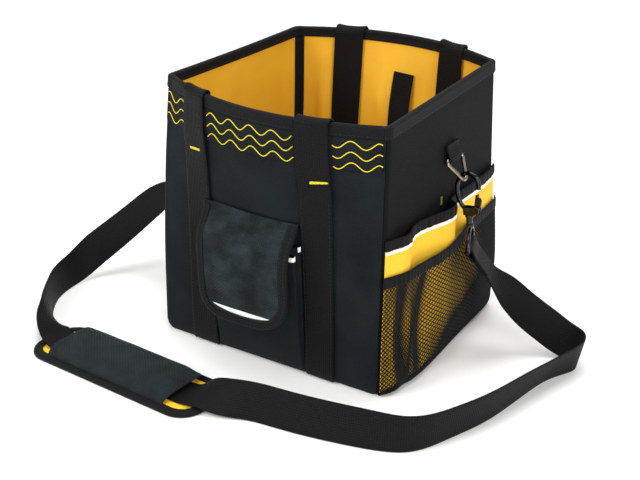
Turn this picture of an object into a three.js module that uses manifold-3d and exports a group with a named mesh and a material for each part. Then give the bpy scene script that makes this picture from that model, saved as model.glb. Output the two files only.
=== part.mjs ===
// Open-topped tool bag: a lined square body with webbing handles tucked inside, a flapped front pouch,
// a net pocket over a gathered one on the right side, and a padded shoulder strap on snap hooks.
// Millimetres, +Z up, front towards -Y, right side towards +X; the origin is the middle of the base on
// the surface that the bag stands on.
import * as THREE from 'three';
import { mergeVertices } from 'three/addons/utils/BufferGeometryUtils.js';
import Module from 'manifold-3d';

const wasm = await Module();
wasm.setup();
const { Vector2, Vector3 } = THREE;

// Clearance between neighbouring pieces; half of the slit between two walls, a share of half the turn
const GAP = 0.35;
const CORNER_SLIT = 0.035;

// Body
const BODY = { height: 281, wall: 2.4, base: 3, lining: 0.9, cornerRadius: 8, edgeInset: 6, edgeHeight: 14 };
const BINDING = { tape: 1, drop: 11, bevel: 0.6, clear: 0.65 };
const WALL_ROWS = [0, 3, 8, 14, 75, 140, 200, 245, BODY.height - BINDING.drop, BODY.height];
const WALL_SPANS = [7, 3, 7, 3];
const BAND = { bottom: 237, middle: 245, top: 269.6, thick: 0.9, clear: 0.6 };
const SEAM_TAPE = { bottom: 10, top: 269, thick: 0.8, reach: 0.014 };

// Plan of the body by height: front left, front right, back right and back left corners
const CORNERS = [
  { z: 0, flx: -134, fly: -121, frx: 132, fry: -122, brx: 137, bry: 121, blx: -133, bly: 121 },
  { z: 95, flx: -133, fly: -119, frx: 133, fry: -121, brx: 136, bry: 120, blx: -126, bly: 120 },
  { z: 190, flx: -130, fly: -114, frx: 135, fry: -122, brx: 132, bry: 119, blx: -118, bly: 119 },
  { z: 281, flx: -126, fly: -105, frx: 138, fry: -125, brx: 129, bry: 118, blx: -116, bly: 118 },
];
// How far the middle of each wall bellies out by height
const BELLY = [
  { z: 0, front: 0, right: 0, back: 0, left: 0 },
  { z: 95, front: 8, right: 1, back: 8, left: 2 },
  { z: 190, front: 20, right: 1, back: 20, left: 3 },
  { z: 281, front: 32, right: 0, back: 33, left: 4 },
];

// Webbing of the strap, and the narrower ones of the handles and tabs
const WEBBING = { width: 37, thick: 1.8 };
const HANDLE_WIDTH = 33;
const TAB_WIDTH = 25;
// Handle leg on the outside of the wall: distance of its centre line from the wall by height
const HANDLE_LEG = [
  { z: 3, out: 2 },
  { z: 140, out: 2.5 },
  { z: 205, out: 2.4 },
  { z: 230, out: 3.2 },
  { z: 281, out: 3.7 },
];
const HANDLE = {
  bulgeHeight: 248, bulgeSpread: 20, rimReach: 6.1, rimRise: 4.8, rimCentre: -1.83, rimDrop: 0.4,
  rimSteps: 8, insideOut: -7.6, loopTop: 170, loopDrop: 76, loopSteps: 16, loopReach: 19.5,
};
// Each leg's place at the floor, its lean to the right by the rim, and its bulge under the rim
const FRONT_HANDLE = {
  left: { x: -76, lean: 7, bulge: 1.5 },
  right: { x: 65.5, lean: 7, bulge: 1.5 },
};
const BACK_HANDLE = {
  left: { x: -57, lean: 0, bulge: 0.6 },
  right: { x: 69, lean: 0, bulge: 0.6 },
};
const HANDLE_ROWS_UP = [3, 8, 14, 75, 140, 200, 218, 232, 248, 266];
const HANDLE_ROWS_DOWN = [262, 235, 200];

// Tab hanging on the inside of the back wall
const INNER_TAB = [
  { z: 241, x: 10, off: 1 },
  { z: 226, x: 9.4, off: 2.5 },
  { z: 206, x: 9, off: 4 },
  { z: 184, x: 9.6, off: 5.5 },
  { z: 160, x: 10.4, off: 3 },
];

// Front pouch: depth of the pocket in front of the wall by height, and the run of the flap over it;
// both lean to the right with the front's corners, by this much at the height of the rim
const FRONT_LEAN = 7;
const POUCH = { centreX: -4.5, halfWidth: 52.2, thick: 1.6, sideShape: 4.5 };
const POUCH_STRIP = { bottom: 132.5, thick: 0.9, reach: 0.94 };
const POUCH_DEPTH = [
  { z: 6, depth: 0.4 },
  { z: 9, depth: 2.4 },
  { z: 14, depth: 4.6 },
  { z: 28, depth: 8 },
  { z: 44, depth: 10.2 },
  { z: 55, depth: 11.2 },
  { z: 90, depth: 14.2 },
  { z: 120, depth: 16 },
  { z: 142, depth: 15.5 },
];
const FLAP_RUN = [
  { z: 172, out: 0.35 },
  { z: 166, out: 3.6 },
  { z: 157, out: 10 },
  { z: 148, out: 16.5 },
  { z: 138, out: 20.6 },
  { z: 122, out: 22.6 },
  { z: 98, out: 23 },
  { z: 78, out: 22.4 },
  { z: 55, out: 20.4 },
];
const FLAP = {
  centreX: -9.7, halfWidth: 53.6, topHalf: 56, flare: 40, cornerRadius: 28, thick: 2.2,
  arcSteps: 5, rowMargin: 4,
};
const FLAP_CROWN = { drop: 3, shape: 3 };
// The flap's top left corner lies on the handle's left leg
const FLAP_LIFT = { height: 3.45, from: 42, to: 48, run: 9 };
const FLAP_BINDING = { width: 8, tape: 0.8, start: 12 };
const CRESCENT = { inset: 8.5, belly: 5.6, tip: 0.5, thick: 0.7, steps: 12 };

// Right side: bulge of the gathered pocket along the wall, and how it grows with height
const GATHER = [
  { y: -116, bulge: 0.6 },
  { y: -111, bulge: 5.5 },
  { y: -99, bulge: 8.5 },
  { y: -88, bulge: 9.5 },
  { y: -79, bulge: 5 },
  { y: -66, bulge: 2.5 },
  { y: -42, bulge: 8 },
  { y: -14, bulge: 15 },
  { y: -4, bulge: 14 },
  { y: 3, bulge: 5 },
  { y: 16, bulge: 2 },
  { y: 40, bulge: 3.5 },
  { y: 78, bulge: 4.5 },
  { y: 101, bulge: 3 },
  { y: 113, bulge: 0.4 },
];
const GATHER_RISE = [
  { z: 12, rise: 0.05 },
  { z: 70, rise: 0.5 },
  { z: 130, rise: 0.95 },
  { z: 159, rise: 1 },
];
const SIDE_POCKET = { thick: 1, top: 158.6 };
const PIPING = { bottom: 154.8, top: 158.3, thick: 0.9 };
const SIDE_POCKET_ROWS = [12, 50, 90, 130, SIDE_POCKET.top];
const SIDE_BINDING = { inset: 0.2, thick: 2.2, top: 169.4 };

// Right side: bulge of the net pocket along the wall, near the floor, half way up and under its elastic
const NET_FOLDS = [
  { y: -118, low: 1.2, mid: 1.2, top: 1.2 },
  { y: -113, low: 7, mid: 8, top: 7.5 },
  { y: -102, low: 14, mid: 15, top: 10.8 },
  { y: -90, low: 16, mid: 16, top: 12.6 },
  { y: -79, low: 10, mid: 8, top: 13.4 },
  { y: -69, low: 14, mid: 13, top: 15 },
  { y: -54, low: 18, mid: 20, top: 18 },
  { y: -25, low: 18, mid: 23, top: 19 },
  { y: 5, low: 17, mid: 22, top: 15 },
  { y: 40, low: 15, mid: 20, top: 9 },
  { y: 75, low: 13, mid: 18, top: 7.5 },
  { y: 102, low: 12, mid: 16, top: 6 },
  { y: 112, low: 8, mid: 11, top: 4 },
  { y: 117, low: 1.2, mid: 1.2, top: 1.2 },
];
const NET_LEVELS = { low: 12, mid: 65, top: 120 };
// Rows of the net from the seam under the bag up to the elastic, each with its share of the bulge
const NET_ROWS = [
  { z: 1.2, tuck: 0.04 },
  { z: 1.2, tuck: 0.55 },
  { z: 2.4, tuck: 0.86 },
  { z: 6, tuck: 0.98 },
  { z: 14, tuck: 1 },
  { z: 45, tuck: 1 },
  { z: 80, tuck: 1 },
  { z: 120, tuck: 1 },
];
const NET = { thick: 1, bandBottom: 120.4, bandTop: 132.5, bandThick: 1.6 };
const NET_FACING = new Vector3(1, 0, -0.5);

// Ring and snap hook, measured from the wall at the height of the ring's upper bar: p outward, q upward
const RIG = { y: 8, z: 212, tilt: 6, swivel: 20, hookP: 24.5, hookQ: -55, wireSides: 6 };
const RING = { wire: 2, barOut: 4.55, hang: 33, steps: 24 };
const RING_OUTLINE = [
  { y: -13, d: 0 },
  { y: 0, d: 0 },
  { y: 13, d: 0 },
  { y: 15, d: 3 },
  { y: 9, d: 14 },
  { y: 3.5, d: 23 },
  { y: 0, d: 24.4 },
  { y: -3.5, d: 23 },
  { y: -9, d: 14 },
  { y: -15, d: 3 },
];
const RING_TAB = { top: 15, seam: 10, hole: 2.6, cloth: 1.6, steps: 6 };
const HOOK = {
  wire: 2.2, steps: 18, lugWidth: 7, slot: 3.9, barrelRadius: 4.2, barrelTop: -1, barrelBottom: -15,
  closedSteps: 24, plainTop: 2, plainBottom: -16.5,
};
const HOOK_BOW = [
  { p: 0, q: 1 },
  { p: -5.5, q: 5 },
  { p: -10, q: 12 },
  { p: -12, q: 21 },
  { p: -11, q: 31 },
  { p: -6, q: 38.5 },
  { p: 1, q: 41.5 },
  { p: 8, q: 39 },
  { p: 11.7, q: 32.5 },
  { p: 12, q: 26 },
];
const HOOK_CLOSING = [
  { p: 10.5, q: 14 },
  { p: 6, q: 3 },
];
const HOOK_LUG = [
  { p: -5, q: -2 },
  { p: 6, q: -2 },
  { p: 12, q: 1.5 },
  { p: 12, q: 6.5 },
  { p: 9, q: 8.5 },
  { p: 4, q: 6.5 },
  { p: -5, q: 6.5 },
];
const GATE_PIVOT = {
  p: 8.5, q: 4.5, axle: 1.3, hole: 1.65, boss: 2.9, width: 3.2, axleLength: 6.6,
  slotStart: 4.6, slotReach: 20,
};
const GATE_BAR = [
  { p: 5.9, q: 4.5 },
  { p: 10.9, q: 4.5 },
  { p: 11.4, q: 6.8 },
  { p: 14.6, q: 8.2 },
  { p: 15.2, q: 10.8 },
  { p: 13.2, q: 12.6 },
  { p: 11.9, q: 12.4 },
  { p: 13.5, q: 23.4 },
  { p: 10, q: 24.2 },
];
const EYE = { wire: 2, steps: 26, barQ: -36 };
const EYE_OUTLINE = [
  { b: -4.5, q: -17.4 },
  { b: 4.5, q: -17.4 },
  { b: 13, q: -19.5 },
  { b: 20, q: -24 },
  { b: 22.8, q: -29.5 },
  { b: 22.3, q: -33.8 },
  { b: 19.6, q: EYE.barQ },
  { b: 0, q: EYE.barQ },
  { b: -19.6, q: EYE.barQ },
  { b: -22.3, q: -33.8 },
  { b: -22.8, q: -29.5 },
  { b: -20, q: -24 },
  { b: -13, q: -19.5 },
];

// Strap: sewn loops at its two ends, then its route from the left hook round the front to the right hook.
// A row without a height lies on the floor; a twist of 90 is flat, 0 and 180 stand on edge.
const FLAT = 90;
const STRAP_END = {
  hole: 2.75, layers: 4, taper: 11, length: 30, steps: 6, straight: 12, settle: 4,
  pitch: 52, leftPitch: 14, leftTurn: 28,
};
const ROUTE = [
  { x: -207, y: -18, z: 104, twist: 54 },
  { x: -224, y: -25, z: 91, twist: 36 },
  { x: -244, y: -34, z: 71, twist: 33 },
  { x: -264, y: -47, z: 51, twist: 31 },
  { x: -281, y: -67, z: 32.5, twist: 25 },
  { x: -288, y: -98, twist: 13 },
  { x: -281, y: -129, twist: 5 },
  { x: -267, y: -154, twist: 4 },
  { x: -254, y: -172, twist: 9 },
  { x: -244, y: -182, twist: 19 },
  { x: -233, y: -190.5, twist: 36 },
  { x: -225, y: -198, z: 19, twist: 54 },
  { x: -217.5, y: -203.3, z: 15.5, twist: 65 },
  { pad: -104, z: 9.6, twist: 81 },
  { pad: -96.5, z: 4.9, twist: 90 },
  { pad: 0, z: 4.9, twist: 90 },
  { pad: 86, z: 4.9, twist: 90 },
  { pad: 100, z: 12.5, twist: 106 },
  { pad: 112, z: 16.5, twist: 118 },
  { x: 13, y: -222, z: 17.2, twist: 130 },
  { x: 26, y: -219.5, z: 17.6, twist: 143 },
  { x: 46, y: -212, twist: 150 },
  { x: 94, y: -207.5, twist: 152 },
  { x: 154, y: -198, twist: 158 },
  { x: 193, y: -189, twist: 172 },
  { x: 210, y: -175, twist: 182 },
  { x: 225, y: -146, twist: 188 },
  { x: 243, y: -99, twist: 191 },
  { x: 253, y: -54, twist: 196 },
  { x: 263, y: -9, twist: 203 },
  { x: 272, y: 14, twist: 199 },
  { x: 279, y: 32, twist: 192 },
  { x: 273, y: 47, twist: 194 },
  { x: 258, y: 53, twist: 198 },
  { x: 238, y: 49, z: 30, twist: 206 },
  { x: 215, y: 38, z: 50, twist: 210 },
  { x: 198, y: 24, z: 74, twist: 222 },
];
const STRAP_STEPS = 80;
const FLOOR_GAP = 0.6;

// Shoulder pad, lying flat on the floor: middle, turn, and its three layers by height
const PAD = {
  x: -109, y: -213.9, turn: -4, length: 224, width: 71, corner: 25, baseBottom: 1.3, baseTop: 3.6,
};
const PAD_BINDING = { tape: 0.8, width: 8.5, cornerSteps: 5 };
const PAD_COVER = {
  shift: -6, halfLength: 83, halfWidth: 26.6, tunnel: 19.4, tunnelTop: 6.2, rise: 8.6, spans: 6,
};
const PAD_COVER_SECTION = [
  { w: 1, top: 0.12 },
  { w: 0.95, top: 0.5 },
  { w: 0.87, top: 0.72 },
  { w: 0.5, top: 0.93 },
  { w: 0, top: 1 },
];

const FINISH = {
  nylon: { color: 0x262d2f, roughness: 0.8, metalness: 0 },
  webbing: { color: 0x1d1e20, roughness: 0.75, metalness: 0 },
  lining: { color: 0xe2a92d, roughness: 0.7, metalness: 0 },
  pocket: { color: 0xf0ba38, roughness: 0.65, metalness: 0 },
  reflective: { color: 0xe8e9e6, roughness: 0.45, metalness: 0 },
  net: { color: 0x17181a, roughness: 0.8, metalness: 0 },
  metal: { color: 0x2c2e31, roughness: 0.35, metalness: 0.9 },
};
for (const finish of Object.keys(FINISH)) FINISH[finish] = new THREE.MeshStandardMaterial(FINISH[finish]);

const FRONT = 0;
const RIGHT = 1;
const BACK = 2;
const LEFT = 3;
const SIDES = ['front', 'right', 'back', 'left'];
const CORNER_NAMES = ['fl', 'fr', 'br', 'bl'];
const UP = new Vector3(0, 0, 1);
const rad = THREE.MathUtils.degToRad;
const range = (count) => Array.from({ length: count }, (_, i) => i);

// Closed solid from points and triangles, turned to face outward
function solid(points, faces) {
  let volume = 0;
  for (let i = 0; i < faces.length; i += 3) {
    const [a, b, c] = [points[faces[i]], points[faces[i + 1]], points[faces[i + 2]]];
    volume += a.dot(b.clone().cross(c));
  }
  const geometry = new THREE.BufferGeometry();
  geometry.setAttribute('position', new THREE.Float32BufferAttribute(points.flatMap((p) => p.toArray()), 3));
  geometry.setIndex(volume < 0 ? faces.slice().reverse() : faces);
  geometry.computeVertexNormals();
  return geometry;
}

// Closed sheet between two equal grids of points, rows by columns
function sheet(outer, inner) {
  const rows = outer.length;
  const cols = outer[0].length;
  const faces = [];
  const at = (layer, r, c) => (layer * rows + r) * cols + c;
  const quad = (a, b, c, d) => faces.push(a, b, c, a, c, d);
  for (let r = 0; r < rows - 1; r += 1) {
    for (let c = 0; c < cols - 1; c += 1) {
      quad(at(0, r, c), at(0, r, c + 1), at(0, r + 1, c + 1), at(0, r + 1, c));
      quad(at(1, r, c), at(1, r + 1, c), at(1, r + 1, c + 1), at(1, r, c + 1));
    }
    quad(at(0, r, 0), at(0, r + 1, 0), at(1, r + 1, 0), at(1, r, 0));
    quad(at(0, r, cols - 1), at(1, r, cols - 1), at(1, r + 1, cols - 1), at(0, r + 1, cols - 1));
  }
  for (let c = 0; c < cols - 1; c += 1) {
    quad(at(0, 0, c), at(1, 0, c), at(1, 0, c + 1), at(0, 0, c + 1));
    quad(at(0, rows - 1, c), at(0, rows - 1, c + 1), at(1, rows - 1, c + 1), at(1, rows - 1, c));
  }
  return solid([...outer.flat(), ...inner.flat()], faces);
}

// The same grid moved square to its own surface by `thick`, away from the side that `facing` points to
function behind(grid, thick, facing) {
  const pick = (list, i) => list[Math.min(Math.max(i, 0), list.length - 1)];
  return grid.map((row, r) => row.map((point, c) => {
    const down = pick(grid, r + 1)[c].clone().sub(pick(grid, r - 1)[c]);
    const across = pick(row, c + 1).clone().sub(pick(row, c - 1));
    const normal = down.cross(across).normalize();
    return point.clone().addScaledVector(normal, normal.dot(facing) > 0 ? -thick : thick);
  }));
}

// Sweep of equal rings of points; `section` is the ring's flat outline for the two end caps, none for a loop
function sweep(rings, section = null) {
  const sides = rings[0].length;
  const faces = [];
  const spans = section ? rings.length - 1 : rings.length;
  for (let r = 0; r < spans; r += 1) {
    const next = (r + 1) % rings.length;
    for (let s = 0; s < sides; s += 1) {
      const [a, b] = [r * sides + s, r * sides + ((s + 1) % sides)];
      const [c, d] = [next * sides + ((s + 1) % sides), next * sides + s];
      faces.push(a, b, c, a, c, d);
    }
  }
  if (section) {
    const end = (rings.length - 1) * sides;
    const turning = Math.sign(THREE.ShapeUtils.area(section));
    for (const cap of THREE.ShapeUtils.triangulateShape(section, [])) {
      const same = Math.sign(THREE.ShapeUtils.area(cap.map((i) => section[i]))) === turning;
      const [a, b, c] = same ? cap : cap.slice().reverse();
      faces.push(c, b, a, end + a, end + b, end + c);
    }
  }
  return solid(rings.flat(), faces);
}

// Flat ribbon along centre points with a width vector at each
function ribbon(centres, across, width, thick) {
  const section = [[-1, -1], [1, -1], [1, 1], [-1, 1]].map(([w, t]) => new Vector2(w * width, t * thick));
  const rings = centres.map((centre, i) => {
    const ahead = centres[Math.min(i + 1, centres.length - 1)];
    const forward = ahead.clone().sub(centres[Math.max(i - 1, 0)]);
    const wide = across[i].clone().addScaledVector(forward, -across[i].dot(forward) / forward.lengthSq());
    wide.normalize();
    const face = forward.cross(wide).normalize();
    return section.map((s) => centre.clone().addScaledVector(wide, s.x / 2).addScaledVector(face, s.y / 2));
  });
  return sweep(rings, section);
}

// Round wire along points that lie in one plane
function wire(points, planeNormal, radius, closed) {
  const circle = range(RIG.wireSides).map((i) => (i * 2 * Math.PI) / RIG.wireSides);
  const count = points.length;
  const rings = points.map((point, i) => {
    const ahead = closed ? points[(i + 1) % count] : points[Math.min(i + 1, count - 1)];
    const before = closed ? points[(i + count - 1) % count] : points[Math.max(i - 1, 0)];
    const side = ahead.clone().sub(before).cross(planeNormal).normalize();
    return circle.map((a) => point.clone().addScaledVector(side, radius * Math.cos(a))
      .addScaledVector(planeNormal, radius * Math.sin(a)));
  });
  return sweep(rings, closed ? null : circle.map((a) => new Vector2(Math.cos(a), Math.sin(a))));
}

// Even points along a smooth curve through the given ones
function smooth(points, closed, steps) {
  const path = new THREE.CatmullRomCurve3(points, closed, 'centripetal').getSpacedPoints(steps);
  return closed ? path.slice(0, -1) : path;
}

// Straight prism of an outline in the p-q plane, centred on y
function prism(outline, width) {
  const shape = new THREE.Shape(outline.map(({ p, q }) => new Vector2(p, q)));
  const geometry = new THREE.ExtrudeGeometry(shape, { depth: width, bevelEnabled: false });
  return geometry.translate(0, 0, -width / 2).rotateX(Math.PI / 2);
}

// Round bar along y at one p and q
function crossBar(radius, length, p, q) {
  return new THREE.CylinderGeometry(radius, radius, length, 16).translate(p, 0, q);
}

function toManifold(geometry) {
  const bare = new THREE.BufferGeometry();
  bare.setAttribute('position', geometry.getAttribute('position').clone());
  bare.setIndex(geometry.getIndex());
  const merged = mergeVertices(bare, 1e-4);
  const vertProperties = new Float32Array(merged.getAttribute('position').array);
  const triVerts = new Uint32Array(merged.getIndex().array);
  return new wasm.Manifold(new wasm.Mesh({ numProp: 3, vertProperties, triVerts }));
}

function fromManifold(manifold) {
  const mesh = manifold.getMesh();
  const geometry = new THREE.BufferGeometry();
  geometry.setAttribute('position', new THREE.BufferAttribute(new Float32Array(mesh.vertProperties), 3));
  geometry.setIndex(new THREE.BufferAttribute(new Uint32Array(mesh.triVerts), 1));
  geometry.computeVertexNormals();
  return geometry;
}

function fuse(...geometries) {
  return fromManifold(geometries.map(toManifold).reduce((whole, next) => whole.add(next)));
}

function cut(geometry, ...tools) {
  const whole = toManifold(geometry);
  return fromManifold(tools.map(toManifold).reduce((left, next) => left.subtract(next), whole));
}

// Smooth curve through a table's rows that never overshoots them, level beyond both ends
function curve(table, from, to, x) {
  const last = table.length - 1;
  if (x <= table[0][from]) return table[0][to];
  if (x >= table[last][from]) return table[last][to];
  let i = 0;
  while (x > table[i + 1][from]) i += 1;
  const rate = (k) => (table[k + 1][to] - table[k][to]) / (table[k + 1][from] - table[k][from]);
  const slope = (k) => {
    if (k === 0) return rate(0);
    if (k === last) return rate(last - 1);
    const [before, after] = [rate(k - 1), rate(k)];
    return before * after > 0 ? (2 * before * after) / (before + after) : 0;
  };
  const span = table[i + 1][from] - table[i][from];
  const t = (x - table[i][from]) / span;
  const ease = t * t * (3 - 2 * t);
  const bend = slope(i) * t * (1 - t) * (1 - t) - slope(i + 1) * t * t * (1 - t);
  return table[i][to] + (table[i + 1][to] - table[i][to]) * ease + span * bend;
}

// Places along a table column with extra ones between its rows
function between(table, key, parts) {
  const spans = range(table.length - 1);
  const places = spans.flatMap((i) => range(parts).map((k) => {
    return table[i][key] + ((table[i + 1][key] - table[i][key]) * k) / parts;
  }));
  return [...places, table[table.length - 1][key]];
}

function edgeInset(z) {
  if (z >= BODY.edgeHeight) return 0;
  const drop = 1 - Math.max(z, 0) / BODY.edgeHeight;
  return BODY.edgeInset * (1 - Math.sqrt(1 - drop * drop));
}

// The four walls in plan at one height
function plan(z) {
  const sharp = CORNER_NAMES.map((name) => {
    return new Vector2(curve(CORNERS, 'z', `${name}x`, z), curve(CORNERS, 'z', `${name}y`, z));
  });
  const along = sharp.map((corner, i) => sharp[(i + 1) % 4].clone().sub(corner).normalize());
  const outward = along.map((a) => new Vector2(a.y, -a.x));
  const inset = edgeInset(z);
  const corners = sharp.map((corner, i) => {
    const before = outward[(i + 3) % 4];
    const diagonal = before.clone().add(outward[i]);
    return corner.clone().addScaledVector(diagonal, -inset / (1 + before.dot(outward[i])));
  });
  const halfTurn = sharp.map((_, i) => Math.acos(outward[(i + 3) % 4].dot(outward[i])) / 2);
  return SIDES.map((name, i) => {
    const next = (i + 1) % 4;
    const turns = [halfTurn[i], halfTurn[next]];
    const reach = turns.map((turn) => BODY.cornerRadius * Math.tan(turn));
    const length = corners[i].distanceTo(corners[next]);
    const belly = curve(BELLY, 'z', name, z);
    return { start: corners[i], along: along[i], outward: outward[i], length, turns, reach, belly };
  });
}

function planPoint({ start, along, outward }, travel, lift, z) {
  const point = start.clone().addScaledVector(along, travel).addScaledVector(outward, lift);
  return new Vector3(point.x, point.y, z);
}

// Point `out` millimetres outside the body. A stop is a share of the wall's straight stretch, or a share of
// half the turn at its first (0) or second (1) corner.
function wallPoint(side, stop, z, out) {
  const wall = plan(z)[side];
  const { length, turns, reach, belly } = wall;
  const radius = BODY.cornerRadius;
  if (stop.corner === undefined) {
    const travel = reach[0] + (length - reach[0] - reach[1]) * stop.share;
    return planPoint(wall, travel, out + 4 * belly * stop.share * (1 - stop.share), z);
  }
  const angle = stop.turn * turns[stop.corner];
  const back = reach[stop.corner] - (radius + out) * Math.sin(angle);
  const travel = stop.corner === 0 ? back : length - back;
  return planPoint(wall, travel, (radius + out) * Math.cos(angle) - radius, z);
}

// Point `out` millimetres outside one wall at a given x (front, back) or y (left, right)
function panelPoint(side, place, z, out) {
  const wall = plan(z)[side];
  const axis = side % 2 === 0 ? 'x' : 'y';
  const travel = (place - wall.start[axis]) / wall.along[axis];
  const straight = wall.length - wall.reach[0] - wall.reach[1];
  const share = THREE.MathUtils.clamp((travel - wall.reach[0]) / straight, 0, 1);
  return planPoint(wall, travel, out + 4 * wall.belly * share * (1 - share), z);
}

const straightStops = WALL_SPANS.map((spans) => range(spans + 1).map((i) => ({ share: i / spans })));

// Ring of points all round the body
function loop(z, out, straight = straightStops) {
  return straight.flatMap((shares, side) => {
    const stops = [{ corner: 0, turn: 1 }, { corner: 0, turn: 0.5 }, ...shares, { corner: 1, turn: 0.5 }];
    return stops.map((stop) => wallPoint(side, stop, z, out));
  });
}

function panel(side) {
  const seam = 1 - CORNER_SLIT;
  const start = [{ corner: 0, turn: seam }, { corner: 0, turn: 0.5 }];
  const end = [{ corner: 1, turn: 0.5 }, { corner: 1, turn: seam }];
  const stops = [...start, ...straightStops[side], ...end];
  const face = (out) => WALL_ROWS.map((z) => stops.map((stop) => wallPoint(side, stop, z, out)));
  return sheet(face(0), face(-BODY.wall));
}

function basePanel() {
  const ends = [{ share: 0 }, { share: 1 }];
  const outline = loop(0, -BODY.wall - GAP, SIDES.map(() => ends)).map((p) => new Vector2(p.x, p.y));
  const rings = [0, BODY.base].map((z) => outline.map((p) => new Vector3(p.x, p.y, z)));
  return sweep(rings, outline);
}

const LINING_OUT = -BODY.wall - GAP;
const LINING_IN = LINING_OUT - BODY.lining;

// Thin cup inside the walls with its floor on the base
function lining() {
  const floor = BODY.base + GAP;
  const heights = [BODY.height - GAP, BODY.height - BINDING.drop, 245, 200, 140, 75, 14, 8];
  const outer = [...heights, floor].map((z) => loop(z, LINING_OUT));
  const inner = [...heights, floor + BODY.lining].map((z) => loop(z, LINING_IN));
  const rings = [...outer.reverse(), ...inner];
  const section = outer[0].map((p) => new Vector2(p.x, p.y));
  return sweep(rings, section);
}

// Tape folded over the top edge
function rimBinding() {
  const outerFace = BINDING.clear + BINDING.tape;
  const innerFace = LINING_IN - outerFace;
  const top = GAP + BINDING.tape;
  const profile = [
    [outerFace, -BINDING.drop],
    [outerFace, top - BINDING.bevel],
    [outerFace - BINDING.bevel, top],
    [innerFace + BINDING.bevel, top],
    [innerFace, top - BINDING.bevel],
    [innerFace, -BINDING.drop],
    [innerFace + BINDING.tape, -BINDING.drop],
    [innerFace + BINDING.tape, GAP],
    [BINDING.clear, GAP],
    [BINDING.clear, -BINDING.drop],
  ];
  const loops = profile.map(([out, dz]) => loop(BODY.height + dz, out));
  return sweep(loops[0].map((_, i) => loops.map((ring) => ring[i])));
}

function frontBand() {
  const stops = [{ corner: 0, turn: 0.5 }, ...straightStops[FRONT], { corner: 1, turn: 0.5 }];
  const heights = [BAND.bottom, BAND.middle, BAND.top];
  const face = (out) => heights.map((z) => stops.map((stop) => wallPoint(FRONT, stop, z, out)));
  return sheet(face(BAND.clear + BAND.thick), face(BAND.clear));
}

// Tape over the seam inside the back left corner
function cornerTape() {
  const outside = LINING_IN - GAP;
  const spread = [
    [BACK, { share: 1 - SEAM_TAPE.reach }],
    [BACK, { corner: 1, turn: 0 }],
    [BACK, { corner: 1, turn: 0.5 }],
    [LEFT, { corner: 0, turn: 1 }],
    [LEFT, { corner: 0, turn: 0.5 }],
    [LEFT, { corner: 0, turn: 0 }],
    [LEFT, { share: SEAM_TAPE.reach }],
  ];
  const heights = [SEAM_TAPE.bottom, 14, 75, 140, 200, 245, SEAM_TAPE.top];
  const face = (out) => heights.map((z) => spread.map(([side, stop]) => wallPoint(side, stop, z, out)));
  return sheet(face(outside), face(outside - SEAM_TAPE.thick));
}

// Direction of growing x along a front or back wall
function wallwise(side, x, z) {
  return panelPoint(side, x + 1, z, 0).sub(panelPoint(side, x - 1, z, 0)).normalize();
}

// Carrying handle: up the wall, over the rim, and down inside to a hanging loop that twists on edge;
// its legs stand off the wall a little under the rim
function handle(side, { left, right }) {
  const centres = [];
  const across = [];
  const add = (x, z, out, run, edge) => {
    const { outward } = plan(z)[side];
    const flat = wallwise(side, x, z).multiplyScalar(run.x).addScaledVector(UP, run.y);
    const square = new Vector3(outward.x, outward.y, 0);
    centres.push(panelPoint(side, x, z, out));
    across.push(flat.multiplyScalar(Math.cos(edge)).addScaledVector(square, Math.sin(edge)));
  };
  const leg = ({ x, lean, bulge }, wide) => {
    const rows = HANDLE_ROWS_UP.map((z) => {
      const out = bulge * Math.exp(-(((z - HANDLE.bulgeHeight) / HANDLE.bulgeSpread) ** 2));
      return { x: x + (lean * z) / BODY.height, z, out: curve(HANDLE_LEG, 'z', 'out', z) + out, wide };
    });
    const rim = range(HANDLE.rimSteps + 1).map((i) => {
      const angle = (Math.PI * i) / HANDLE.rimSteps;
      const out = HANDLE.rimCentre + HANDLE.rimReach * Math.cos(angle);
      const z = BODY.height - HANDLE.rimDrop + HANDLE.rimRise * Math.sin(angle);
      return { x: x + lean, z, out, wide };
    });
    const inside = HANDLE_ROWS_DOWN.map((z) => ({ x: x + lean, z, out: HANDLE.insideOut, wide }));
    return [...rows, ...rim, ...inside];
  };
  const flatTo = new Vector2(1, 0);
  for (const p of leg(left, flatTo)) add(p.x, p.z, p.out, p.wide, 0);
  const [from, to] = [left.x + left.lean, right.x + right.lean];
  const [middle, half] = [(from + to) / 2, (to - from) / 2];
  for (let i = 0; i <= HANDLE.loopSteps; i += 1) {
    const turn = (Math.PI * i) / HANDLE.loopSteps;
    const run = new Vector2(Math.sin(turn) * half, -Math.cos(turn) * HANDLE.loopDrop).normalize();
    const edge = (Math.PI / 2) * Math.sin(turn) ** 2;
    const out = HANDLE.insideOut - HANDLE.loopReach * Math.sin(edge);
    const z = HANDLE.loopTop - HANDLE.loopDrop * Math.sin(turn);
    add(middle - half * Math.cos(turn), z, out, new Vector2(-run.y, run.x), edge);
  }
  const flatBack = new Vector2(-1, 0);
  for (const p of leg(right, flatBack).reverse()) add(p.x, p.z, p.out, p.wide, 0);
  return ribbon(centres, across, HANDLE_WIDTH, WEBBING.thick);
}

function innerTab() {
  const heights = between(INNER_TAB, 'z', 3);
  const down = INNER_TAB.slice().reverse();
  const outside = LINING_IN - GAP - WEBBING.thick / 2;
  const centres = heights.map((z) => {
    return panelPoint(BACK, curve(down, 'z', 'x', z), z, outside - curve(down, 'z', 'off', z));
  });
  const across = heights.map((z) => wallwise(BACK, curve(down, 'z', 'x', z), z));
  return ribbon(centres, across, TAB_WIDTH, WEBBING.thick);
}

const frontLean = (z) => (FRONT_LEAN * z) / BODY.height;

// Distance of the pouch's inner face from the front wall
function pouchOut(x, z) {
  const share = Math.abs(x - POUCH.centreX) / POUCH.halfWidth;
  return GAP + curve(POUCH_DEPTH, 'z', 'depth', z) * (1 - Math.min(share, 1) ** POUCH.sideShape);
}

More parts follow.
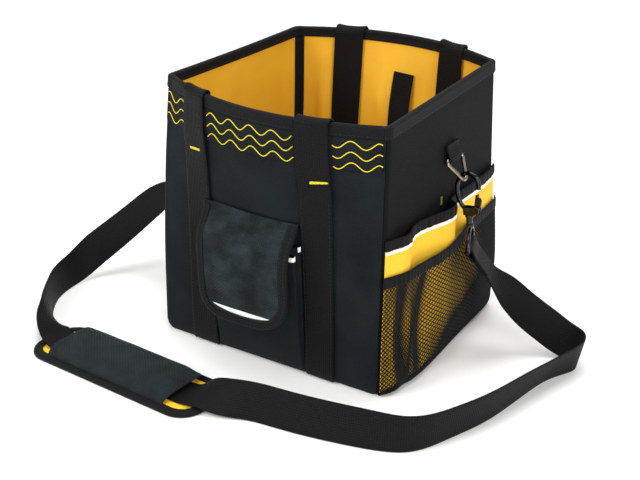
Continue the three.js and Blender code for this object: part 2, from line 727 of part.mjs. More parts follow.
const POUCH_COLUMNS = [-1, -0.92, -0.75, -0.4, 0, 0.4, 0.75, 0.92, 1];

function pouchSheet(heights, reach, inside, thick) {
  const columns = POUCH_COLUMNS.map((c) => POUCH.centreX + c * POUCH.halfWidth * reach);
  const face = (extra) => heights.map((z) => {
    return columns.map((x) => panelPoint(FRONT, x + frontLean(z), z, pouchOut(x, z) + extra));
  });
  return sheet(face(inside + thick), face(inside));
}

const pouchHeights = POUCH_DEPTH.map(({ z }) => z);
const pouchTop = POUCH_DEPTH[POUCH_DEPTH.length - 1].z;

// Running length down the flap at each row of its table
let flapRun = 0;
FLAP_RUN.forEach((row, i) => {
  if (i > 0) flapRun += Math.hypot(row.z - FLAP_RUN[i - 1].z, row.out - FLAP_RUN[i - 1].out);
  row.run = flapRun;
});
const FLAP_LENGTH = flapRun;

// Point of the flap at x across and `run` down it, `off` millimetres above its underside
function flapPoint(x, run, off) {
  const step = 0.5;
  const out = curve(FLAP_RUN, 'run', 'out', run);
  const z = curve(FLAP_RUN, 'run', 'z', run);
  const [before, after] = [Math.max(run - step, 0), Math.min(run + step, FLAP_LENGTH)];
  const rise = curve(FLAP_RUN, 'run', 'out', after) - curve(FLAP_RUN, 'run', 'out', before);
  const fall = curve(FLAP_RUN, 'run', 'z', before) - curve(FLAP_RUN, 'run', 'z', after);
  const normal = new Vector2(fall, rise).normalize();
  const share = Math.min(Math.abs(x) / FLAP.halfWidth, 1);
  const crown = FLAP_CROWN.drop * share ** FLAP_CROWN.shape * (run / FLAP_LENGTH);
  const { smoothstep } = THREE.MathUtils;
  const over = smoothstep(-x, FLAP_LIFT.from, FLAP_LIFT.to) * (1 - smoothstep(run, 0, FLAP_LIFT.run));
  const away = out + normal.x * off - crown + FLAP_LIFT.height * over;
  return panelPoint(FRONT, FLAP.centreX + frontLean(z) + x, z + normal.y * off, away);
}

// Half width of the flap by running length: wider where it is sewn to the wall
function flapHalf(run) {
  const table = [{ run: 0, half: FLAP.topHalf }, { run: FLAP.flare, half: FLAP.halfWidth }];
  return curve(table, 'run', 'half', run);
}

function flap() {
  const square = FLAP_LENGTH - FLAP.cornerRadius;
  const arcs = range(FLAP.arcSteps + 1).map((i) => (Math.PI / 2) * (i / FLAP.arcSteps));
  const plain = FLAP_RUN.filter(({ run }) => run < square - FLAP.rowMargin);
  const rows = [
    ...plain.map(({ run }) => ({ run, half: flapHalf(run) })),
    ...arcs.map((a) => ({
      run: square + FLAP.cornerRadius * Math.sin(a),
      half: FLAP.halfWidth - FLAP.cornerRadius * (1 - Math.cos(a)),
    })),
  ];
  const columns = [-1, -0.87, -0.72, -0.35, 0.35, 0.75, 1];
  const face = (off) => rows.map(({ run, half }) => columns.map((c) => flapPoint(c * half, run, off)));
  return sheet(face(FLAP.thick), face(0));
}

// The flap's free edge, from its left side round the bottom to its right side, with the direction inward
function flapEdge() {
  const square = FLAP_LENGTH - FLAP.cornerRadius;
  const inner = FLAP.halfWidth - FLAP.cornerRadius;
  const sides = FLAP_RUN.filter(({ run }) => run > FLAP_BINDING.start && run < square - FLAP.rowMargin);
  const arcs = range(FLAP.arcSteps + 1).map((i) => (Math.PI / 2) * (i / FLAP.arcSteps));
  const left = sides.map(({ run }) => ({ x: -flapHalf(run), run, inX: 1, inRun: 0 }));
  const turn = arcs.map((a) => ({
    x: -inner - FLAP.cornerRadius * Math.cos(a),
    run: square + FLAP.cornerRadius * Math.sin(a),
    inX: Math.cos(a),
    inRun: -Math.sin(a),
  }));
  const half = [...left, ...turn, { x: -inner / 2, run: FLAP_LENGTH, inX: 0, inRun: -1 }];
  const mirrored = half.map((e) => ({ ...e, x: -e.x, inX: -e.inX })).reverse();
  return [...half, { x: 0, run: FLAP_LENGTH, inX: 0, inRun: -1 }, ...mirrored];
}

function flapAt({ x, run, inX, inRun }, inset, off) {
  return flapPoint(x + inX * inset, run + inRun * inset, off);
}

function flapBinding() {
  const top = FLAP.thick + GAP;
  const { tape, width } = FLAP_BINDING;
  const section = [
    new Vector2(width, top + tape),
    new Vector2(-GAP - tape, top + tape),
    new Vector2(-GAP - tape, -GAP - tape),
    new Vector2(width, -GAP - tape),
    new Vector2(width, -GAP),
    new Vector2(-GAP, -GAP),
    new Vector2(-GAP, top),
    new Vector2(width, top),
  ];
  return sweep(flapEdge().map((edge) => section.map((s) => flapAt(edge, s.x, s.y))), section);
}

// White crescent above the flap's bottom binding
function flapReflective() {
  const inner = FLAP.halfWidth - FLAP.cornerRadius;
  const low = FLAP.thick + GAP;
  const stations = range(CRESCENT.steps + 1).map((i) => {
    const share = i / CRESCENT.steps;
    const x = -inner + 2 * inner * share;
    const deep = CRESCENT.tip + CRESCENT.belly * Math.sin(Math.PI * share);
    return { edge: { x, run: FLAP_LENGTH, inX: 0, inRun: -1 }, deep };
  });
  const face = (off) => [0, 1].map((k) => {
    return stations.map(({ edge, deep }) => flapAt(edge, CRESCENT.inset + k * deep, off));
  });
  return sheet(face(low + CRESCENT.thick), face(low));
}

const gatherPlaces = between(GATHER, 'y', 2);
const gatherOut = (y, z) => GAP + curve(GATHER, 'y', 'bulge', y) * curve(GATHER_RISE, 'z', 'rise', z);

function gathered(heights, inside, thick) {
  const face = (extra) => heights.map((z) => {
    return gatherPlaces.map((y) => panelPoint(RIGHT, y, z, gatherOut(y, z) + extra));
  });
  return sheet(face(inside + thick), face(inside));
}

// Bulge of the net pocket at one place and height
function netBulge(y, z) {
  const levels = Object.keys(NET_LEVELS).map((level) => {
    return { z: NET_LEVELS[level], bulge: curve(NET_FOLDS, 'y', level, y) };
  });
  return curve(levels, 'z', 'bulge', z);
}

const netPlaces = between(NET_FOLDS, 'y', 2);

function netPocket() {
  const outer = NET_ROWS.map(({ z, tuck }) => {
    return netPlaces.map((y) => panelPoint(RIGHT, y, z, GAP + NET.thick + netBulge(y, z) * tuck));
  });
  return sheet(outer, behind(outer, NET.thick, NET_FACING));
}

function netBand() {
  const face = (extra) => [NET.bandBottom, NET.bandTop].map((z) => {
    return netPlaces.map((y) => panelPoint(RIGHT, y, z, GAP + netBulge(y, z) + extra));
  });
  return sheet(face(NET.bandThick), face(0));
}

// Frame of the ring and hook on one side of the bag: p outward, y along the wall, q upward
function rigFrame(side) {
  const sign = side === RIGHT ? 1 : -1;
  const frame = new THREE.Group();
  frame.position.copy(panelPoint(side, RIG.y, RIG.z, 0));
  frame.rotation.z = sign > 0 ? 0 : Math.PI;
  frame.updateMatrixWorld();
  return frame;
}

// Frame of the hook inside the rig: its own p and q with the hook's lean, origin at the top of its barrel
function hookFrame() {
  const frame = new THREE.Group();
  frame.position.set(RIG.hookP, 0, RIG.hookQ);
  frame.rotation.y = rad(-RIG.tilt);
  return frame;
}

// Webbing tab sewn to the wall and folded round the ring's upper bar
function ringTab() {
  const outline = new THREE.Shape();
  const outer = RING_TAB.hole + RING_TAB.cloth;
  const back = GAP;
  outline.moveTo(back, RING_TAB.top);
  outline.lineTo(back, 0);
  outline.absarc(RING.barOut, 0, outer, Math.PI, 2 * Math.PI, false);
  outline.lineTo(2 * RING_TAB.cloth + back, RING_TAB.seam);
  outline.lineTo(2 * RING_TAB.cloth + back, RING_TAB.top);
  const hole = new THREE.Path();
  hole.absarc(RING.barOut, 0, RING_TAB.hole, 0, 2 * Math.PI, true);
  outline.holes.push(hole);
  const options = { depth: TAB_WIDTH, bevelEnabled: false, curveSegments: RING_TAB.steps };
  return new THREE.ExtrudeGeometry(outline, options).translate(0, 0, -TAB_WIDTH / 2).rotateX(Math.PI / 2);
}

// Triangular wire ring, hanging outward from the tab
function ring() {
  const down = new Vector3(Math.sin(rad(RING.hang)), 0, -Math.cos(rad(RING.hang)));
  const along = new Vector3(0, 1, 0);
  const corners = RING_OUTLINE.map(({ y, d }) => {
    return new Vector3(RING.barOut, y, 0).addScaledVector(down, d);
  });
  return wire(smooth(corners, true, RING.steps), down.clone().cross(along).normalize(), RING.wire, true);
}

const hookPlane = new Vector3(0, 1, 0);
const hookPoints = (table) => table.map(({ p, q }) => new Vector3(p, 0, q));

function barrel(top, bottom) {
  const geometry = new THREE.CylinderGeometry(HOOK.barrelRadius, HOOK.barrelRadius, top - bottom, 16);
  return geometry.rotateX(Math.PI / 2).translate(0, 0, (top + bottom) / 2);
}

// Hook body: bow, slotted lug that carries the gate, and swivel barrel
function hook() {
  const bow = wire(smooth(hookPoints(HOOK_BOW), false, HOOK.steps), hookPlane, HOOK.wire, false);
  const { slotStart, slotReach } = GATE_PIVOT;
  const slot = new THREE.BoxGeometry(slotReach, HOOK.slot, slotReach);
  slot.translate(slotStart + slotReach / 2, 0, GATE_PIVOT.q);
  const pivotHole = crossBar(GATE_PIVOT.hole, HOOK.lugWidth + 2, GATE_PIVOT.p, GATE_PIVOT.q);
  const lug = cut(prism(HOOK_LUG, HOOK.lugWidth), slot, pivotHole);
  return fuse(lug, bow, barrel(HOOK.barrelTop, HOOK.barrelBottom));
}

// Spring gate with its thumb nub and axle
function gate() {
  const boss = crossBar(GATE_PIVOT.boss, GATE_PIVOT.width, GATE_PIVOT.p, GATE_PIVOT.q);
  const axle = crossBar(GATE_PIVOT.axle, GATE_PIVOT.axleLength, GATE_PIVOT.p, GATE_PIVOT.q);
  return fuse(prism(GATE_BAR, GATE_PIVOT.width), boss, axle);
}

// Strap eye under the barrel, turned on the swivel to face along the strap
function eye(turn) {
  const along = new Vector3(-Math.sin(turn), Math.cos(turn), 0);
  const corners = EYE_OUTLINE.map(({ b, q }) => along.clone().multiplyScalar(b).addScaledVector(UP, q));
  return wire(smooth(corners, true, EYE.steps), along.clone().cross(UP), EYE.wire, true);
}

// Hook closed all round, with its barrel and eye in one
function plainHook(turn) {
  const bow = hookPoints([...HOOK_BOW, ...HOOK_CLOSING]);
  return fuse(
    wire(smooth(bow, true, HOOK.closedSteps), hookPlane, HOOK.wire, true),
    barrel(HOOK.plainTop, HOOK.plainBottom),
    eye(turn),
  );
}

// Sewn loop of strap round an eye's bar: `u` runs along the strap, y along the bar
function strapEnd() {
  const { hole, layers, taper, length, steps } = STRAP_END;
  const cloth = layers / 2;
  const outline = new THREE.Shape();
  outline.absarc(0, 0, hole + cloth, Math.PI / 2, (3 * Math.PI) / 2, false);
  outline.lineTo(taper, -cloth);
  outline.lineTo(length, -cloth);
  outline.lineTo(length, cloth);
  outline.lineTo(taper, cloth);
  const opening = new THREE.Path();
  opening.absarc(0, 0, hole, Math.PI / 2, (3 * Math.PI) / 2, false);
  opening.lineTo(taper, -GAP / 4);
  opening.lineTo(taper, GAP / 4);
  outline.holes.push(opening);
  const options = { depth: WEBBING.width, bevelEnabled: false, curveSegments: steps };
  const loop3d = new THREE.ExtrudeGeometry(outline, options);
  return loop3d.translate(0, 0, -WEBBING.width / 2).rotateX(Math.PI / 2);
}

// Where a strap leaves its hook: the middle of the eye's bar, the strap's direction and the bar's direction
function strapStart(frame, turn, pitch) {
  const origin = new Vector3(0, 0, EYE.barQ).applyMatrix4(frame.matrixWorld);
  const turned = new THREE.Matrix4().extractRotation(frame.matrixWorld);
  const along = new Vector3(-Math.sin(turn), Math.cos(turn), 0).applyMatrix4(turned);
  const level = along.clone().cross(UP).normalize();
  const heading = level.multiplyScalar(Math.cos(pitch)).addScaledVector(UP, -Math.sin(pitch));
  const normal = heading.clone().cross(along).normalize();
  return { origin, heading, along: normal.clone().cross(heading).normalize(), normal };
}

function placeStrapEnd({ origin, heading, along, normal }) {
  const place = new THREE.Matrix4().makeBasis(heading, along, normal).setPosition(origin);
  return strapEnd().applyMatrix4(place);
}

const padTurn = rad(PAD.turn);
const padPoint = (l) => new Vector2(PAD.x + l * Math.cos(padTurn), PAD.y + l * Math.sin(padTurn));

// Strap centre line and width direction, from the left loop to the right one
function strapRoute(left, right) {
  const reach = STRAP_END.length + GAP;
  const rows = ROUTE.map(({ x, y, z, pad, twist }) => {
    const place = pad === undefined ? new Vector2(x, y) : padPoint(pad);
    const angle = rad(twist);
    const onEdge = (WEBBING.width * Math.abs(Math.cos(angle))) / 2;
    const resting = FLOOR_GAP + onEdge + (WEBBING.thick * Math.sin(angle) ** 2) / 2;
    return { x: place.x, y: place.y, z: z === undefined ? resting : z, twist };
  });
  const leave = left.origin.clone().addScaledVector(left.heading, reach);
  const arrive = right.origin.clone().addScaledVector(right.heading, reach);
  const nearLeft = leave.clone().addScaledVector(left.heading, STRAP_END.straight);
  const nearRight = arrive.clone().addScaledVector(right.heading, STRAP_END.straight);
  rows.unshift({ ...leave, twist: FLAT }, { ...nearLeft, twist: FLAT - STRAP_END.settle });
  rows.push({ ...nearRight, twist: 3 * FLAT - STRAP_END.settle }, { ...arrive, twist: 3 * FLAT });
  rows.forEach((row, i) => {
    const before = rows[i - 1];
    row.run = before ? before.run + Math.hypot(row.x - before.x, row.y - before.y, row.z - before.z) : 0;
  });
  return rows;
}

function strap(left, right) {
  const rows = strapRoute(left, right);
  const total = rows[rows.length - 1].run;
  const at = (run) => new Vector3(...['x', 'y', 'z'].map((key) => curve(rows, 'run', key, run)));
  const runs = range(STRAP_STEPS + 1).map((i) => (total * i) / STRAP_STEPS);
  const across = runs.map((run) => {
    const forward = at(Math.min(run + 1, total)).sub(at(Math.max(run - 1, 0))).normalize();
    const side = UP.clone().cross(forward).normalize();
    const rise = forward.clone().cross(side);
    const twist = rad(curve(rows, 'run', 'twist', run));
    return rise.multiplyScalar(-Math.cos(twist)).addScaledVector(side, Math.sin(twist));
  });
  return ribbon(runs.map(at), across, WEBBING.width, WEBBING.thick);
}

// Outline of the pad, counter-clockwise, with the outward direction at each point
function padOutline() {
  const { cornerSteps } = PAD_BINDING;
  const quarter = range(cornerSteps + 1).map((i) => (Math.PI / 2) * (i / cornerSteps));
  const [a, b] = [PAD.length / 2 - PAD.corner, PAD.width / 2 - PAD.corner];
  const centres = [[a, b, 0], [-a, b, 1], [-a, -b, 2], [a, -b, 3]];
  return centres.flatMap(([x, y, turns]) => quarter.map((q) => {
    const angle = q + (turns * Math.PI) / 2;
    const outward = new Vector2(Math.cos(angle), Math.sin(angle));
    return { x: x + PAD.corner * outward.x, y: y + PAD.corner * outward.y, outward };
  }));
}

const padRing = (inset, z) => padOutline().map(({ x, y, outward }) => {
  return new Vector3(x - outward.x * inset, y - outward.y * inset, z);
});

function padBase() {
  const rings = [PAD.baseBottom, PAD.baseTop].map((z) => padRing(0, z));
  return sweep(rings, rings[0].map((p) => new Vector2(p.x, p.y)));
}

// Tape folded round the pad's edge
function padBinding() {
  const { tape, width } = PAD_BINDING;
  const low = PAD.baseBottom - GAP;
  const high = PAD.baseTop + GAP;
  const profile = [
    [width, high + tape],
    [-GAP - tape, high + tape],
    [-GAP - tape, low - tape],
    [width, low - tape],
    [width, low],
    [-GAP, low],
    [-GAP, high],
    [width, high],
  ];
  const loops = profile.map(([inset, z]) => padRing(inset, z));
  return sweep(loops[0].map((_, i) => loops.map((ring) => ring[i])));
}

// Sleeve over the strap on the middle of the pad
function padCover() {
  const low = PAD.baseTop + GAP;
  const crest = PAD_COVER.tunnelTop + PAD_COVER.rise - low;
  const half = PAD_COVER_SECTION.map(({ w, top }) => ({ w: w * PAD_COVER.halfWidth, z: low + top * crest }));
  const outer = [...half, ...half.slice(0, -1).reverse().map(({ w, z }) => ({ w: -w, z }))];
  const { halfWidth, tunnel, tunnelTop } = PAD_COVER;
  const section = [
    ...outer.map(({ w, z }) => new Vector2(w, z)),
    new Vector2(-halfWidth, low),
    new Vector2(-tunnel, low),
    new Vector2(-tunnel, tunnelTop),
    new Vector2(tunnel, tunnelTop),
    new Vector2(tunnel, low),
    new Vector2(halfWidth, low),
  ];
  const rings = range(PAD_COVER.spans + 1).map((i) => {
    const l = PAD_COVER.shift + PAD_COVER.halfLength * ((2 * i) / PAD_COVER.spans - 1);
    return section.map((s) => new Vector3(l, s.x, s.y));
  });
  return sweep(rings, section);
}

const bag = new THREE.Group();
bag.name = 'tool_bag';

function add(parent, name, geometry, material) {
  const mesh = new THREE.Mesh(geometry, material);
  mesh.name = name;
  parent.add(mesh);
}

add(bag, 'base_panel', basePanel(), FINISH.nylon);
add(bag, 'front_panel', panel(FRONT), FINISH.nylon);
add(bag, 'right_panel', panel(RIGHT), FINISH.nylon);
add(bag, 'back_panel', panel(BACK), FINISH.nylon);
add(bag, 'left_panel', panel(LEFT), FINISH.nylon);
add(bag, 'lining', lining(), FINISH.lining);
add(bag, 'rim_binding', rimBinding(), FINISH.webbing);
add(bag, 'front_band', frontBand(), FINISH.webbing);
add(bag, 'corner_tape', cornerTape(), FINISH.webbing);
add(bag, 'front_handle', handle(FRONT, FRONT_HANDLE), FINISH.webbing);
add(bag, 'back_handle', handle(BACK, BACK_HANDLE), FINISH.webbing);
add(bag, 'inner_tab', innerTab(), FINISH.webbing);

add(bag, 'pouch_pocket', pouchSheet(pouchHeights, 1, 0, POUCH.thick), FINISH.nylon);
const stripHeights = [POUCH_STRIP.bottom, pouchTop - GAP];
const strip = pouchSheet(stripHeights, POUCH_STRIP.reach, POUCH.thick + GAP, POUCH_STRIP.thick);
add(bag, 'pouch_reflective', strip, FINISH.reflective);
add(bag, 'pouch_flap', flap(), FINISH.nylon);
add(bag, 'flap_binding', flapBinding(), FINISH.webbing);
add(bag, 'flap_reflective', flapReflective(), FINISH.reflective);

add(bag, 'side_pocket', gathered(SIDE_POCKET_ROWS, 0, SIDE_POCKET.thick), FINISH.pocket);
const piping = gathered([PIPING.bottom, PIPING.top], SIDE_POCKET.thick + GAP, PIPING.thick);
add(bag, 'side_pocket_piping', piping, FINISH.reflective);
const bindingHeights = [SIDE_POCKET.top + GAP, SIDE_BINDING.top];
const sideBinding = gathered(bindingHeights, -SIDE_BINDING.inset, SIDE_BINDING.thick);
add(bag, 'side_pocket_binding', sideBinding, FINISH.webbing);
add(bag, 'mesh_pocket', netPocket(), FINISH.net);
add(bag, 'mesh_binding', netBand(), FINISH.webbing);

const rightRig = rigFrame(RIGHT);
const rightHook = hookFrame();
rightRig.add(rightHook);
rightRig.updateMatrixWorld(true);
const rightTurn = rad(RIG.swivel);
add(rightRig, 'ring_tab_right', ringTab(), FINISH.webbing);
add(rightRig, 'ring_right', ring(), FINISH.metal);
add(rightHook, 'hook_right', hook(), FINISH.metal);
add(rightHook, 'hook_right_gate', gate(), FINISH.metal);
add(rightHook, 'hook_right_eye', eye(rightTurn), FINISH.metal);

const leftRig = rigFrame(LEFT);
const leftHook = hookFrame();
leftRig.add(leftHook);
leftRig.updateMatrixWorld(true);
const leftTurn = rad(STRAP_END.leftTurn);
add(leftRig, 'ring_tab_left', ringTab(), FINISH.webbing);
add(leftRig, 'ring_left', ring(), FINISH.metal);
add(leftHook, 'hook_left', plainHook(leftTurn), FINISH.metal);
bag.add(rightRig, leftRig);

const rightStart = strapStart(rightHook, rightTurn, rad(STRAP_END.pitch));
const leftStart = strapStart(leftHook, leftTurn, rad(STRAP_END.leftPitch));
add(bag, 'strap_end_right', placeStrapEnd(rightStart), FINISH.webbing);
add(bag, 'strap_end_left', placeStrapEnd(leftStart), FINISH.webbing);
add(bag, 'shoulder_strap', strap(leftStart, rightStart), FINISH.webbing);

const pad = new THREE.Group();
pad.position.set(PAD.x, PAD.y, 0);
pad.rotation.z = padTurn;
add(pad, 'pad_base', padBase(), FINISH.lining);
add(pad, 'pad_binding', padBinding(), FINISH.webbing);
add(pad, 'pad_cover', padCover(), FINISH.nylon);
bag.add(pad);

export default bag;
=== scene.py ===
"""Looks of the open tool bag: its cloth, webbing, net, needlework and hooks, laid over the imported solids.

Sizes are millimetres in the part's own frame and become metres where a mesh is made.
"""
import functools
import logging
import math
from collections.abc import Callable, Sequence
from dataclasses import dataclass, field
from enum import Enum, IntEnum

import bmesh
import bpy
import numpy as np
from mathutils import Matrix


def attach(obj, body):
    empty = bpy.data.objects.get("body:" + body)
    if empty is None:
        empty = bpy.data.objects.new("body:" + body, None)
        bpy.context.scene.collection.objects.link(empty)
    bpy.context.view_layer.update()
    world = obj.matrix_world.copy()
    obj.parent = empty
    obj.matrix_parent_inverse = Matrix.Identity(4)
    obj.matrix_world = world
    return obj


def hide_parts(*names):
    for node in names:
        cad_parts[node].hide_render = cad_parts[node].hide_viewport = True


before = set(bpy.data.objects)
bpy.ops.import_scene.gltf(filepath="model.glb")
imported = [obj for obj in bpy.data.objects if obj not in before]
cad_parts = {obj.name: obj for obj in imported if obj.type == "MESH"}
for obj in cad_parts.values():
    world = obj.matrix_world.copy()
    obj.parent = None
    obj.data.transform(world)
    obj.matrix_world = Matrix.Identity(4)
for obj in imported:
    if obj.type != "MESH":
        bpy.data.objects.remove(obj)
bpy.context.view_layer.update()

log = logging.getLogger("tool_bag")

Array = np.ndarray
Span = tuple[float, float]
Triple = tuple[float, float, float]
Pairs = tuple[Span, ...]
Rows = tuple[tuple[float, ...], ...]
MM = 0.001
# Space between two layers
GAP = 0.35
# Points nearer than this, in metres, become one
MERGE = 1e-7
# Height within which a quad counts as level
LEVEL = 0.01
# Points on each stretch of a smooth curve before it is spaced evenly
CURVE_STEPS = 24
UP = np.array([0.0, 0.0, 1.0])
SIDEWAYS = np.array([0.0, 1.0, 0.0])
TURN = 2 * math.pi


class Side(IntEnum):
    """Walls of the bag, counter-clockwise from the front."""

    FRONT = 0
    RIGHT = 1
    BACK = 2
    LEFT = 3


class Facing(Enum):
    """Which way the faces of a surface look."""

    OUT = "away from the middle of the bag"
    IN = "to the middle of the bag"
    UP = "upward"
    SOLID = "outward from a closed form"


def unit(vectors: Array) -> Array:
    """Vectors scaled to length one."""
    return vectors / np.linalg.norm(vectors, axis=-1, keepdims=True)


def running(points: Array) -> Array:
    """Length along a line of points, from its start to each of them."""
    steps = np.linalg.norm(np.diff(points, axis=0), axis=-1)
    return joined([0.0], np.cumsum(steps))


def joined(*parts: Array | Sequence) -> Array:
    """Arrays one after the other."""
    return np.concatenate(parts)


def together(*columns: Array | float) -> Array:
    """Columns side by side; a single value stands in every row."""
    return np.stack(np.broadcast_arrays(*columns), -1)


def looped(rows: Array) -> Array:
    """Rows with the first one again at the end."""
    return joined(rows, rows[:1])


def at_height(flat: Array, z: Array | float) -> Array:
    """Points of x and y at a height, or each at its own."""
    return np.concatenate([flat, np.broadcast_to(z, flat.shape[:-1])[..., None]], -1)


def upright(rows: Array | Pairs) -> Array:
    """Rows of x and z as points of the plane at y zero."""
    x, z = np.array(rows, float).T
    return together(x, 0.0, z)


def read_along(places: Array, length: Array, values: Array) -> Array:
    """Rows of values at places along a length, straight between the known ones."""
    return np.stack([np.interp(places, length, column) for column in values.T], -1)


def evenly(points: Array, spacing: float, *carried: Array) -> list[Array]:
    """A line of points again at even spacing, with values carried along it.

    Args:
        points: The line, one point a row.
        spacing: Distance between the new points.
        carried: Further arrays with one row for each point.

    Returns:
        The new points, then each carried array at them.
    """
    length = running(points)
    places = np.linspace(0, length[-1], max(2, round(length[-1] / spacing) + 1))
    return [read_along(places, length, values) for values in (points, *carried)]


def eased(points: Array, reach: int) -> Array:
    """Rows averaged with their neighbours up to `reach` away; both end rows stay.

    Args:
        points: The rows.
        reach: How many neighbours count on each side.

    Returns:
        The averaged rows.
    """
    padded = np.pad(points, ((reach, reach), (0, 0)), "edge")
    mean = np.lib.stride_tricks.sliding_window_view(padded, 2 * reach + 1, axis=0).mean(-1)
    return joined(points[:1], mean[1:-1], points[-1:])


def mean_slope(before: Array, after: Array) -> Array:
    """Harmonic mean of two slopes, level where they differ in sign."""
    same = before * after > 0
    return np.where(same, 2 * before * after / np.where(same, before + after, 1), 0)


def cubic(ends: tuple[Array, Array], slopes: tuple[Array, Array], span: Array, t: Array) -> Array:
    """Smooth piece between two values with the given slopes, where t runs from 0 to 1 over its span.

    Args:
        ends: Its two values.
        slopes: Its slope at each end.
        span: Its length.
        t: Where to read it.

    Returns:
        Its value there.
    """
    (start, end), (leave, arrive) = ends, slopes
    bend = leave * t * (1 - t) ** 2 - arrive * t**2 * (1 - t)
    return start + (end - start) * t * t * (3 - 2 * t) + span * bend


def ripple(place: Array, waves: Rows) -> Array:
    """Sum of waves, each with a length, a shift and a size."""
    return sum(size * np.sin(TURN * place / length + shift) for length, shift, size in waves)


@dataclass(frozen=True)
class Table:
    """Short table with named columns, read along its first one as a smooth curve that never overshoots."""

    columns: str
    rows: Rows

    def at(self, column: str, place: Array | float) -> Array:
        """Reads one column: cubic pieces with harmonic-mean slopes, level beyond both ends.

        Args:
            column: Name of the column.
            place: Where to read, in the first column's units.

        Returns:
            The column's value at each place.
        """
        values = np.array(self.rows, float)
        x, y = values[:, 0], values[:, self.columns.split().index(column)]
        rate = np.diff(y) / np.diff(x)
        slope = joined(rate[:1], mean_slope(rate[:-1], rate[1:]), rate[-1:])
        place = np.asarray(place, float)
        i = np.clip(np.searchsorted(x, place) - 1, 0, len(x) - 2)
        span = x[i + 1] - x[i]
        t = np.clip((place - x[i]) / span, 0, 1)
        return cubic((y[i], y[i + 1]), (slope[i], slope[i + 1]), span, t)


@dataclass
class Surface:
    """Quads with a UV in millimetres at each corner."""

    points: Array
    quads: Array
    uv: Array

    @staticmethod
    def join(parts: Sequence["Surface"]) -> "Surface":
        """Several surfaces as one.

        Args:
            parts: The surfaces.

        Returns:
            The one surface.
        """
        starts = np.cumsum([0, *(len(part.points) for part in parts[:-1])])
        quads = [part.quads + start for part, start in zip(parts, starts)]
        points = np.concatenate([part.points for part in parts])
        return Surface(points, np.concatenate(quads), np.concatenate([part.uv for part in parts]))

    def facing(self, way: Facing) -> "Surface":
        """The same surface with its faces turned to look one way.

        Args:
            way: Where they are to look.

        Returns:
            This surface, or one with its faces turned over.
        """
        a, b, c, d = (self.points[self.quads[:, i]] for i in range(4))
        normal = np.cross(c - a, d - b)
        centre = (a + b + c + d) / 4
        outward = (normal[:, :2] * centre[:, :2]).sum()
        measure = {
            Facing.OUT: outward,
            Facing.IN: -outward,
            Facing.UP: normal[:, 2].sum(),
            Facing.SOLID: (normal * (centre - self.points.mean(0))).sum(),
        }[way]
        return self if measure > 0 else self.turned()

    def turned(self) -> "Surface":
        """The same surface with its faces turned over."""
        return Surface(self.points, self.quads[:, ::-1], self.uv[:, ::-1])

    def level_uv(self) -> "Surface":
        """The same surface with a UV of x and y on its level quads, so that a weave runs straight there."""
        corners = self.points[self.quads]
        level = np.ptp(corners[..., 2], axis=1) < LEVEL
        return Surface(self.points, self.quads, np.where(level[:, None, None], corners[..., :2], self.uv))


def measured_uv(points: Array, wrap_rows: bool, wrap_columns: bool) -> Array:
    """UV of a grid: mean running length along its columns and rows, one more where it closes.

    Args:
        points: Rows by columns by three coordinates.
        wrap_rows: Whether the last row joins the first.
        wrap_columns: Whether the last column joins the first.

    Returns:
        U and v at each point, in millimetres.
    """
    whole = looped(points) if wrap_rows else points
    whole = np.concatenate([whole, whole[:, :1]], 1) if wrap_columns else whole
    down = np.linalg.norm(np.diff(whole, axis=0), axis=-1).mean(1)
    across = np.linalg.norm(np.diff(whole, axis=1), axis=-1).mean(0)
    u = joined([0.0], np.cumsum(across))
    v = joined([0.0], np.cumsum(down))
    return np.stack(np.meshgrid(u, v), -1)


def grid_surface(points: Array, wrap_rows: bool = False, wrap_columns: bool = False) -> Surface:
    """Quads over a grid of points.

    Args:
        points: Rows by columns by three coordinates.
        wrap_rows: Whether the last row joins the first.
        wrap_columns: Whether the last column joins the first.

    Returns:
        The surface, with a UV measured along it.
    """
    rows, columns = points.shape[:2]
    r, c = np.meshgrid(
        np.arange(rows - (not wrap_rows)), np.arange(columns - (not wrap_columns)), indexing="ij"
    )
    below, right = (r + 1) % rows, (c + 1) % columns
    corners = [r * columns + c, r * columns + right, below * columns + right, below * columns + c]
    uv = measured_uv(points, wrap_rows, wrap_columns)
    corner_uv = [uv[r, c], uv[r, c + 1], uv[r + 1, c + 1], uv[r + 1, c]]
    quads = np.stack(corners, -1).reshape(-1, 4)
    return Surface(points.reshape(-1, 3), quads, np.stack(corner_uv, 2).reshape(-1, 4, 2))


def sheet(points: Array, way: Facing = Facing.OUT) -> Surface:
    """Open sheet over a grid of points, facing one way."""
    return grid_surface(points).facing(way)


def tube(rings: Array, closed: bool = False) -> Surface:
    """Skin of a solid over rings of points, whose last ring joins the first where it is closed."""
    return grid_surface(rings, closed, True).facing(Facing.SOLID)


def alike(tubes: Array, model: Array) -> Surface:
    """Many closed tubes of one kind as one surface.

    Args:
        tubes: Tubes by rings by points round a ring by three coordinates.
        model: One tube, which gives the UV of all.

    Returns:
        The surface, facing outward.
    """
    one = grid_surface(model, False, True)
    starts = np.arange(len(tubes)) * model.shape[0] * model.shape[1]
    quads = one.quads + starts[:, None, None]
    uv = np.broadcast_to(one.uv, (len(tubes), *one.uv.shape)).reshape(-1, 4, 2)
    whole = Surface(tubes.reshape(-1, 3), quads.reshape(-1, 4), uv)
    first = Surface(tubes[0].reshape(-1, 3), one.quads, one.uv)
    return whole if first.facing(Facing.SOLID) is first else whole.turned()


def square_to(forward: Array, wide: Array) -> Array:
    """Directions of a width, made square to the line that it goes along."""
    return unit(wide - forward * (wide * forward).sum(-1, keepdims=True))


def closed_ends(rings: Array) -> Array:
    """Rings with a middle point, drawn together, added before the first and after the last."""
    shut = lambda ring: np.repeat(ring.mean(0, keepdims=True), len(ring), 0)[None]
    return joined(shut(rings[0]), rings, shut(rings[-1]))


